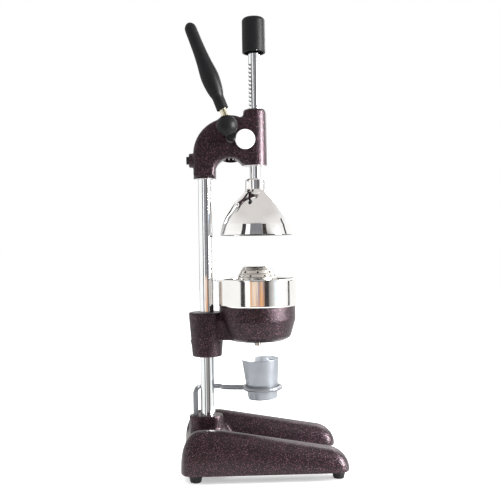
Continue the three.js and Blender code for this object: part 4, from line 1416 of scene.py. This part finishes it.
@dataclass
class BowlArm:
    """The cast bowl on its sleeve, with the spout under it. Sizes are in millimetres."""

    sleeve_top_radius: float = 28.0
    sleeve_bottom_radius: float = 23.0
    sleeve_draft: float = 0.4
    sleeve_top: float = 239.5
    sleeve_bottom: float = 172.0
    sleeve_low_edge: float = 3.0
    sleeve_top_edge: float = 2.5
    edge: float = 4.5
    radius: float = 58.8
    top: float = 247.0
    band: float = 227.0
    taper_z: float = 199.0
    taper_radius: float = 51.0
    bottom: float = 193.0
    bottom_radius: float = 46.0
    foot_radius: float = 40.0
    foot_z: float = 194.6
    fold: float = 9.0
    soft: float = 8.0
    wall: float = 3.5
    floor: float = 4.0
    well_radius: float = 16.4
    web_half: float = 30.0
    spare: float = 2.0
    trim: float = 8.0
    trim_radius: float = 30.0
    rim_trim_radius: float = 75.0
    rim_trim: float = 12.0
    mouth: float = 9.0
    column_bore_low: float = 160.0
    column_bore_high: float = 260.0
    spout_bore: float = 5.7
    spout_bore_low: float = 185.0
    spout_bore_high: float = 205.0
    screw_bore: float = 3.8
    screw_bore_end: float = -120.0
    spout_radius: float = 5.4
    spout_inner: float = 4.2
    spout_bottom: float = 186.0
    spout_top: float = 198.3
    flange_radius: float = 8.4
    flange: float = 1.0
    fine_edge: float = 0.3
    grain: float = 1.2
    passes: int = 6

    def body(self) -> Piece:
        """Makes the solid form: the tapered sleeve, the bowl turned round the rod, and the web between.

        Returns:
            The form.
        """
        end, rim = self.sleeve_bottom - self.spare, self.top + self.spare
        sleeve = turned("sleeve", rounded([
            (0, end, 0), (self.sleeve_bottom_radius - self.sleeve_draft, end, self.sleeve_low_edge),
            (self.sleeve_top_radius, self.sleeve_top, self.sleeve_top_edge), (0, self.sleeve_top, 0)]),
            (COLUMN_X, 0, 0))
        bowl = turned("bowl", rounded([
            (0, self.foot_z, 0), (self.foot_radius, self.foot_z, self.fold),
            (self.taper_radius, self.taper_z + 1, self.soft), (self.radius, self.band, self.fold),
            (self.radius, rim, 0), (0, rim, 0)]), (ROD_X, 0, 0), around=FINEST)
        low, high = self.bottom + self.edge, self.band
        ends = [(self.sleeve_top_radius / 3, self.sleeve_bottom_radius - self.edge),
                (self.sleeve_top_radius + 3 * self.edge, self.web_half)]
        square = ((-1, low), (1, low), (1, high), (-1, high))
        web = lofted("web", [[(COLUMN_X + reach, side * half, z) for side, z in square]
                             for reach, half in ends])
        return combine(sleeve, [bowl, web], Work.ADD)

    def inside(self) -> Piece:
        """Makes the bowl's inside, whose floor falls to the spout.

        Returns:
            The tool that cuts it.
        """
        inner, low, high = self.radius - self.wall, self.bottom + self.floor, self.top + self.mouth
        return turned("inside", rounded([
            (0, low, 0), (self.well_radius, low, 0), (self.bottom_radius - self.wall, low + self.floor, 3),
            (self.taper_radius - self.wall, self.taper_z + 2 * self.floor, 5), (inner, self.band, self.soft),
            (inner, high, 0), (0, high, 0)]), (ROD_X, 0, 0))

    def spout(self) -> Piece:
        """Makes the short steel spout with its flange.

        Returns:
            The spout.
        """
        seat = self.spout_top - self.flange
        return turned("spout_tube", rounded([
            (self.spout_inner, self.spout_bottom, 0), (self.spout_radius, self.spout_bottom, 0.4),
            (self.spout_radius, seat, 0), (self.flange_radius, seat, self.fine_edge),
            (self.flange_radius, self.spout_top, self.fine_edge), (self.spout_inner, self.spout_top, 0),
            (self.spout_inner, self.spout_bottom, 0)]), (ROD_X, 0, 0), around=MEDIUM)

    def build(self) -> None:
        """Builds and dresses the casting, the spout and the arm's screw."""
        body = cast(combine(self.body(), [self.inside()], Work.CUT), "bowl_body", self.grain, self.passes)
        body = combine(body, [
            upright(self.rim_trim_radius, ROD_X, self.top, self.top + self.rim_trim, FINE),
            upright(self.trim_radius, COLUMN_X, self.sleeve_bottom - self.trim, self.sleeve_bottom, FINE),
            upright(COLUMN_BORE, COLUMN_X, self.column_bore_low, self.column_bore_high),
            upright(self.spout_bore, ROD_X, self.spout_bore_low, self.spout_bore_high, SMALL),
            lengthwise(self.screw_bore, self.bottom, self.screw_bore_end, COLUMN_X),
        ], Work.CUT)
        settle(body, "bowl_arm", Body.STAND, Finish.PAINT)
        settle(self.spout(), "juice_spout", Body.STAND, Finish.SATIN)
        redress("bowl_arm_screw", Finish.STEEL)


@dataclass
class Strainer:
    """The pan and the perforated reamer in it. Sizes are in millimetres."""

    pan_radius: float = 61.0
    flange_radius: float = 66.0
    top: float = 290.0
    bottom: float = 247.3
    wall: float = 1.0
    drain: float = 37.0
    floor_round: float = 3.0
    lip_round: float = 1.2
    lip_drop: float = 2.5
    catch_radius: float = 53.5
    catch_bottom: float = 239.3
    reamer_top: float = 308.5
    reamer_top_radius: float = 21.5
    waist: float = 291.0
    waist_radius: float = 31.0
    foot_radius: float = 40.0
    foot_gap: float = 0.3
    seat: float = 6.0
    ring: float = 5.6
    step: float = 0.8
    step_edge: float = 0.35
    crown_edge: float = 1.2
    shell: float = 1.8
    rows: int = 4
    holes: int = 8
    hole_radius: float = 1.5
    hole_points: int = 16
    points_around: int = 160

    def pan(self) -> Piece:
        """Makes the pan from one sheet: rolled lip, wall, floor and the catch that centres it in the bowl.

        Returns:
            The pan.
        """
        half = self.wall / 2
        inner, outer = self.pan_radius - half, self.flange_radius - half
        low, high = self.bottom + half, self.top - half
        profile = sheet_profile([
            (self.drain, low, 0), (inner, low, self.floor_round), (inner, high, self.lip_round),
            (outer, high, self.lip_round), (outer, self.top - self.lip_drop, 0)], self.wall)
        pan = turned("pan_steel", profile, (ROD_X, 0, 0), around=FINEST)
        near, far = self.catch_radius, self.catch_radius + self.wall
        catch = turned("catch", [
            (near, self.catch_bottom), (far, self.catch_bottom), (far, low), (near, low),
            (near, self.catch_bottom)], (ROD_X, 0, 0), around=FINEST)
        return combine(pan, [catch], Work.ADD)

    def reach(self, z: float) -> float:
        """Gives the reamer's radius at a height: a steep crown over a longer skirt, both straight.

        Args:
            z: The height.

        Returns:
            The radius.
        """
        return float(np.interp(z, [self.bottom + self.wall, self.waist, self.reamer_top],
                               [self.foot_radius, self.waist_radius, self.reamer_top_radius]))

    def drills(self) -> Piece:
        """Makes the drills for the holes: level round bars across the shell, each row turned by half a hole.

        Returns:
            The tool that cuts all holes.
        """
        round_hole = circle(self.hole_radius, count=self.hole_points, closing=False)
        points, faces = [], []
        for row in range(self.rows):
            z = self.reamer_top - self.ring * (row + 1.5)
            for i in range(self.holes):
                angle = 2 * math.pi * (i + (row % 2) / 2) / self.holes
                out = np.array([math.cos(angle), math.sin(angle), 0])
                side = np.array([-math.sin(angle), math.cos(angle), 0])
                ring = round_hole[:, :1] * side + round_hole[:, 1:] * np.array(UP) + [ROD_X, 0, z]
                start = len(points) * self.hole_points
                points += [(self.reach(z) - 6) * out + ring, (self.reach(z) + 3) * out + ring]
                faces += (grid_faces(2, self.hole_points) + start).tolist()
                faces += [list(range(first, first + self.hole_points))
                          for first in (start, start + self.hole_points)]
        return make_piece("holes", np.vstack(points), faces)

    def reamer(self) -> Piece:
        """Makes the reamer: a stepped bell of thin sheet with rows of round holes.

        Returns:
            The reamer.
        """
        foot, top = self.bottom + self.wall + self.foot_gap, self.reamer_top
        rim = self.foot_radius + self.seat
        sole = foot + self.wall
        corners = [(rim, foot, 0), (rim, sole, 0), (self.reach(sole), sole, 0.8)]
        for i in range(self.rows, -1, -1):
            z = top - self.ring * (i + 1)
            out = self.reach(z)
            corners += [(out, z, self.step_edge), (out - self.step, z + self.step, self.step_edge)]
        corners += [(self.reamer_top_radius, top - self.crown_edge, 0.8),
                    (self.reamer_top_radius - 2, top, self.crown_edge), (0, top, 0)]
        inner = [(self.foot_radius - self.shell, foot), (self.waist_radius - self.shell - 0.8, self.waist),
                 (self.reamer_top_radius - self.shell - 1, top - self.shell), (0, top - self.shell)]
        profile = np.vstack([rounded(corners, 4)[::-1], inner])
        shell = turned("reamer_steel", profile, (ROD_X, 0, 0), around=self.points_around)
        return combine(shell, [self.drills()], Work.CUT)

    def build(self) -> None:
        """Builds and dresses the pan and the reamer."""
        settle(self.pan(), "strainer_pan", Body.STRAINER, Finish.STAINLESS)
        settle(self.reamer(), "reamer_cone", Body.STRAINER, Finish.SATIN)


@dataclass
class CupStand:
    """The swinging holder and the drip cup that hangs in its ring. Sizes are in millimetres."""

    post_radius: float = 4.0
    post_low: float = 56.0
    post_edge: float = 0.6
    arm_radius: float = 3.5
    arm_z: float = 121.5
    bypass: float = 19.0
    bend: float = 9.0
    ring_radius: float = 28.46
    ring_rod: float = 3.3
    tab_height: float = 7.4
    tab_length: float = 30.0
    tab_thickness: float = 4.0
    tab_edge: float = 0.8
    cup_top: float = 28.7
    cup_bottom: float = 22.5
    cup_height: float = 61.0
    cup_drop: float = 17.0
    cup_wall: float = 1.6
    cup_low_wall: float = 1.4
    cup_floor: float = 2.0
    cup_round: float = 2.0
    lip_edge: float = 0.6
    lean: float = math.radians(3)

    def tab(self, start: float, end: float) -> Piece:
        """Makes the flat tab that joins the arm to the ring.

        Args:
            start: The X where it leaves the arm.
            end: The X where it meets the ring.

        Returns:
            The tab.
        """
        lead = np.array([end - start, -0.3 * self.bypass, 0.0])
        lead /= np.linalg.norm(lead)
        side = np.array([-lead[1], lead[0], 0.0])
        half, tall, edge = self.tab_thickness / 2, self.tab_height / 2, self.tab_edge
        section = rounded([(0, -tall, 0), (half, -tall, edge), (half, tall, edge), (-half, tall, edge),
                           (-half, -tall, edge), (0, -tall, 0)], 4)[:-1]
        middle = np.array([(start + end) / 2, 0.15 * self.bypass, self.arm_z])
        return lofted("tab", [middle + reach * lead + section[:, :1] * side + section[:, 1:] * np.array(UP)
                              for reach in (-self.tab_length / 2, self.tab_length / 2)])

    def holder(self) -> Piece:
        """Makes the holder: a post, a rod bent round the column, a flat tab and the ring.

        Returns:
            The holder.
        """
        z, b, w = self.arm_z, self.bend, self.bypass
        end = RING_X - self.ring_radius
        start = end - self.tab_length
        post = bar("cup_holder_rod", self.post_radius, (POST_X, 0, self.post_low), (POST_X, 0, z - b / 2),
                   SMALL, self.post_edge)
        route = [(POST_X, 0, z - b), (POST_X + b / 8, b / 4, z - b / 4), (POST_X + b / 2, 1.3 * b, z),
                 (COLUMN_X - b, w - b / 4, z), (COLUMN_X + b / 2, w, z), (COLUMN_X + w, 0.8 * w, z),
                 (start, 0.3 * w, z), (end, 0, z)]
        arm = rod_along("arm", route, self.arm_radius, (0.3, -1, 0.2))
        ring = turned("ring", circle(self.ring_rod, count=SMALL) + [self.ring_radius, 0], (RING_X, 0, z))
        return combine(post, [arm, ring, self.tab(start, end)], Work.ADD)

    def cup(self) -> Piece:
        """Makes the cup, which leans back in its ring.

        Returns:
            The cup.
        """
        axis = np.array([-math.sin(self.lean), 0, math.cos(self.lean)])
        profile = rounded([
            (0, 0, 0), (self.cup_bottom, 0, self.cup_round), (self.cup_top, self.cup_height, self.lip_edge),
            (self.cup_top - self.cup_wall, self.cup_height, self.lip_edge),
            (self.cup_bottom - self.cup_low_wall, self.cup_floor, self.cup_round), (0, self.cup_floor, 0)])
        return turned("cup_shell", profile, np.array([RING_X, 0, self.arm_z]) - self.cup_drop * axis, axis)

    def build(self) -> None:
        """Builds and dresses the holder and the cup."""
        settle(self.holder(), "cup_holder", Body.CUP_ARM, Finish.GREY)
        settle(self.cup(), "drip_cup", Body.CUP, Finish.SILVER)


@dataclass
class Lever:
    """The pinion's shaft with the ball, the rod and the grip. Sizes are in millimetres."""

    tilt: float = math.radians(21)
    ball_radius: float = 15.7
    ball_back: float = 6.1
    ball_rise: float = 12.5
    ball_points: int = 96
    reach: float = 50.0
    rod_shift: float = 2.8
    rod_radius: float = 5.3
    rod_start: float = 6.0
    rod_in_grip: float = 30.0
    grip_start: float = 24.5
    grip_length: float = 137.0
    grip_gap: float = 0.3
    mouth: float = 0.62
    bulge: float = 13.6
    hub_radius: float = 7.5
    hub_start: float = -50.0
    hub_end: float = -24.0
    shaft_radius: float = 5.5
    shaft_end: float = 23.0

    def axis(self) -> np.ndarray:
        """Gives the way that the lever points."""
        return np.array([-math.sin(self.tilt), 0, math.cos(self.tilt)])

    def centre(self) -> np.ndarray:
        """Gives the middle of the ball."""
        return np.array([PINION_X - self.ball_back, -self.reach, PINION_Z + self.ball_rise])

    def root(self) -> np.ndarray:
        """Gives the point in the ball where the rod's own axis starts."""
        return self.centre() + self.rod_shift * np.array([math.cos(self.tilt), 0, math.sin(self.tilt)])

    def ball(self) -> Piece:
        """Makes the ball that the lever rod is screwed into.

        Returns:
            The ball.
        """
        arc = circle(self.ball_radius, -math.pi / 2, math.pi / 2, 65)
        arc[[0, -1], 0] = 0
        return turned("ball_black", arc, self.centre(), self.axis(), self.ball_points)

    def rod(self) -> Piece:
        """Makes the lever rod, from inside the ball to inside the grip.

        Returns:
            The rod.
        """
        axis, root = self.axis(), self.root()
        return bar("lever_nickel", self.rod_radius, root + self.rod_start * axis,
                   root + (self.grip_start + self.rod_in_grip) * axis)

    def grip(self) -> Piece:
        """Makes the grip: a smooth line through points measured on the photograph, turned round the rod.

        Returns:
            The grip with its bore.
        """
        shares = [(0.003, 0.655), (0.06, 0.65), (0.12, 0.645), (0.145, 0.67), (0.165, 0.73), (0.186, 0.79),
                  (0.23, 0.88), (0.275, 0.945), (0.318, 0.985), (0.36, 1.0), (0.405, 0.98), (0.445, 0.94),
                  (0.49, 0.88), (0.53, 0.83), (0.575, 0.79), (0.64, 0.74), (0.705, 0.705), (0.79, 0.68),
                  (0.87, 0.665), (0.91, 0.66), (0.94, 0.632), (0.965, 0.53), (0.985, 0.35), (0.996, 0.17),
                  (1.0, 0.0)]
        side = smooth_line(np.array(shares) * [self.grip_length, self.bulge] + [self.grip_start, 0])[:, ::-1]
        side[:, 1] = np.minimum(side[:, 1], self.grip_start + self.grip_length)
        side[:, 0] = np.maximum(side[:, 0], 0)
        side[-1, 0] = 0
        bore, bottom = self.rod_radius + self.grip_gap, self.grip_start + self.rod_in_grip + self.grip_gap
        inside = [(0, bottom), (bore, bottom), (bore, self.grip_start),
                  (self.mouth * self.bulge, self.grip_start)]
        return turned("grip_black", np.vstack([inside, side]), self.root(), self.axis())

    def shaft(self) -> Piece:
        """Makes the pinion's shaft with the hub that carries the ball.

        Returns:
            The shaft.
        """
        profile = rounded([
            (0, self.hub_start, 0), (self.hub_radius, self.hub_start, 0.8),
            (self.hub_radius, self.hub_end, 0.8), (self.shaft_radius, self.hub_end, 0),
            (self.shaft_radius, self.shaft_end, 0.5), (0, self.shaft_end, 0)], 4)
        return turned("shaft_steel", profile, (PINION_X, 0, PINION_Z), ACROSS)

    def build(self) -> None:
        """Builds and dresses the lever's pieces."""
        settle(self.ball(), "lever_ball", Body.LEVER, Finish.BLACK)
        settle(self.rod(), "lever_rod", Body.LEVER, Finish.NICKEL)
        settle(self.grip(), "lever_grip", Body.LEVER, Finish.BLACK)
        settle(self.shaft(), "pinion_shaft", Body.LEVER, Finish.BLACK)
        redress("pinion_gear", Finish.STEEL)


# The studio


def flat_sheet(name: str, points: Sequence[Sequence[float]]) -> Piece:
    """Makes a one-sided sheet for the room.

    Args:
        name: The object's name.
        points: Its corners in order, in metres.

    Returns:
        The object, linked to the scene.
    """
    mesh = bpy.data.meshes.new(name)
    mesh.from_pydata(points, [], [list(range(len(points)))])
    sheet = bpy.data.objects.new(name, mesh)
    bpy.context.scene.collection.objects.link(sheet)
    return sheet


@dataclass(frozen=True)
class Lamp:
    """A soft square lamp. Places and sizes are in metres."""

    name: str
    place: tuple
    target: tuple
    size: float
    watts: float
    mirrored: bool = False

    def build(self) -> None:
        """Adds the lamp, turned to its target and seen in reflections only where it is mirrored."""
        light = bpy.data.lights.new(self.name, "AREA")
        light.shape, light.size, light.energy = "SQUARE", self.size, self.watts
        lamp = bpy.data.objects.new(self.name, light)
        lamp.location = self.place
        lamp.rotation_euler = (Vector(self.target) - Vector(self.place)).to_track_quat("-Z", "Y").to_euler()
        lamp.visible_glossy = self.mirrored
        bpy.context.scene.collection.objects.link(lamp)


@dataclass(frozen=True)
class Card:
    """An upright card that shows only in reflections, such as a wall of the room or a window.

    It stands on a circle round the press. Its bearing is in degrees to the right of the camera's
    own side, its spread is the angle that it covers, and the other sizes are in metres.
    """

    name: str
    bearing: float
    spread: float
    low: float
    high: float
    colour: tuple
    glow: float = 0.0
    distance: float = 2.0
    patches: tuple = ()
    patch_scale: float = 9.0

    def build(self) -> None:
        """Adds the card, which faces the press. Its patches are colours that lie over it in cells."""
        points = []
        for share, z in ((-1, self.low), (1, self.low), (1, self.high), (-1, self.high)):
            angle = math.radians(self.bearing + share * self.spread / 2)
            points.append((self.distance * math.sin(angle), -self.distance * math.cos(angle), z))
        card = flat_sheet(self.name, points)
        graph = Graph(bpy.data.materials.new(self.name))
        colour = self.colour
        if self.patches:
            cells = graph.add("ShaderNodeTexVoronoi", {"Vector": graph.place, "Scale": self.patch_scale})
            share = 1 / len(self.patches)
            colour = graph.ramp(graph.part(cells.outputs["Color"], "X"),
                                [(i * share, patch) for i, patch in enumerate(self.patches)])
        dress(card, graph.finish(Base_Color=colour, Roughness=0.9, Emission_Color=colour,
                                 Emission_Strength=self.glow))
        card.visible_camera = card.visible_shadow = card.visible_diffuse = False


MOSAIC = ((0.50, 0.20, 0.07), (0.30, 0.16, 0.09), (0.55, 0.45, 0.36), (0.10, 0.13, 0.22), (0.45, 0.24, 0.10))
LAMPS = (
    Lamp("key", (-0.9, -1.3, 1.6), (0, 0, 0.3), 0.9, 14),
    Lamp("window", (1.45, -0.6, 0.62), (0, 0, 0.3), 0.6, 22),
    Lamp("rim", (0.9, 1.2, 1.2), (0, 0, 0.4), 0.8, 14, True),
    Lamp("top", (0.0, 0.0, 2.2), (0, 0, 0), 1.6, 30),
)
CARDS = (
    Card("wall_left", -44, 13, -0.6, 1.6, (0.015, 0.015, 0.018)),
    Card("wall_grey", -30, 14, -0.6, 1.6, (0.5, 0.5, 0.5), 0.8),
    Card("wall_warm", -3, 40, -0.1, 0.22, (0.4, 0.2, 0.1), 0.35, 2.1, MOSAIC),
    Card("wall_dark", -4, 40, 0.22, 1.9, (0.10, 0.10, 0.11), 0.8, 2.3),
    Card("wall_right", 24, 13, -0.6, 1.6, (0.02, 0.015, 0.015)),
    Card("wall_blue", 52, 6, 0.1, 0.5, (0.30, 0.42, 0.62), 0.8),
    Card("window_glow", 67, 20, 0.2, 1.0, (1.0, 1.0, 1.0), 75, 1.5),
    Card("edge_left", -140, 16, -0.6, 1.5, (0.02, 0.02, 0.02)),
    Card("edge_right", 100, 8, -0.6, 1.5, (0.03, 0.03, 0.03)),
)


@dataclass
class Studio:
    """The white room: floor, sky, lamps, cards and camera. Sizes are in metres."""

    floor_size: float = 5.0
    floor_z: float = -0.001
    floor_glow: float = 0.45
    table_radius: float = 0.36
    backdrop: tuple = (1.15, 1.15, 1.14)
    room: tuple = (0.33, 0.32, 0.31)
    ceiling: tuple = (0.80, 0.77, 0.75)
    camera_place: tuple = (-0.0629, -1.119, 0.334)
    camera_target: tuple = (-0.015, 0.0, 0.334)
    camera_roll: float = 0.014
    camera_lens: float = 52.06

    def floor(self) -> None:
        """Adds the white floor, and the white table at the feet, which alone shows in reflections."""
        graph = Graph(bpy.data.materials.new("floor_white"))
        cloud = graph.noise(1.5, 2.0)
        white = graph.finish(Base_Color=graph.ramp(cloud, [(0.3, 0.93), (0.7, 0.95)]), Roughness=0.85,
                             Specular_IOR_Level=0.0, Emission_Color=(1.0, 1.0, 1.0),
                             Emission_Strength=self.floor_glow)
        for name, radius, z in (("floor", self.floor_size, self.floor_z), ("table", self.table_radius, 0.0)):
            sheet = flat_sheet(name, placed(circle(radius, count=MEDIUM, closing=False), 2, z).tolist())
            dress(sheet, white)
            sheet.visible_glossy = name == "table"

    def sky(self) -> None:
        """Sets the sky: white to the camera, and elsewhere a white sweep, a dim room and a ceiling.

        The sweep lies behind the press, the room on the camera's side, and the ceiling over both.
        """
        world = bpy.data.worlds.new("studio_sky")
        bpy.context.scene.world = world
        graph = Graph(world)
        height, depth = graph.part(graph.way, "Z"), graph.part(graph.way, "Y")
        behind = graph.add("ShaderNodeMapRange", {"Value": depth, "From Min": -1.0}).outputs["Result"]
        around = graph.ramp(behind, [(0.07, self.room), (0.21, self.backdrop)])
        upward = graph.ramp(height, [(0.35, 0.0), (0.75, 1.0)])
        to_camera = graph.add("ShaderNodeLightPath").outputs["Is Camera Ray"]
        colour = graph.mix(to_camera, graph.mix(upward, around, self.ceiling), (1.0, 1.0, 1.0))
        background = graph.add("ShaderNodeBackground", {"Color": colour})
        graph.add("ShaderNodeOutputWorld", {"Surface": background.outputs["Background"]})

    def camera(self) -> None:
        """Adds the camera, matched to the photograph.

        Its sideways and upward directions are turned about the way it looks by the roll.
        """
        lens = bpy.data.cameras.new("camera")
        lens.lens, lens.sensor_width = self.camera_lens, 36.0
        lens.clip_start, lens.clip_end = 0.05, 60
        camera = bpy.data.objects.new("camera", lens)
        ahead = (Vector(self.camera_target) - Vector(self.camera_place)).normalized()
        right = ahead.cross(Vector(UP)).normalized()
        upward = right.cross(ahead)
        cosine, sine = math.cos(self.camera_roll), math.sin(self.camera_roll)
        rows = Matrix((right * cosine - upward * sine, upward * cosine + right * sine, -ahead))
        camera.rotation_euler = rows.transposed().to_euler()
        camera.location = self.camera_place
        bpy.context.scene.collection.objects.link(camera)
        bpy.context.scene.camera = camera

    def build(self) -> None:
        """Builds the room in order."""
        self.floor()
        self.sky()
        self.camera()
        for piece in LAMPS + CARDS:
            piece.build()


def main() -> None:
    """Builds the press in order, then the room round it."""
    logging.basicConfig(level=logging.INFO, format="%(message)s")
    bpy.context.scene.view_settings.view_transform = "Standard"
    for kind in (Base, Column, Head, Plunger, BowlArm, Strainer, CupStand, Lever, Studio):
        LOG.info("building %s", kind.__name__)
        kind().build()


if __name__ == "__main__":
    main()
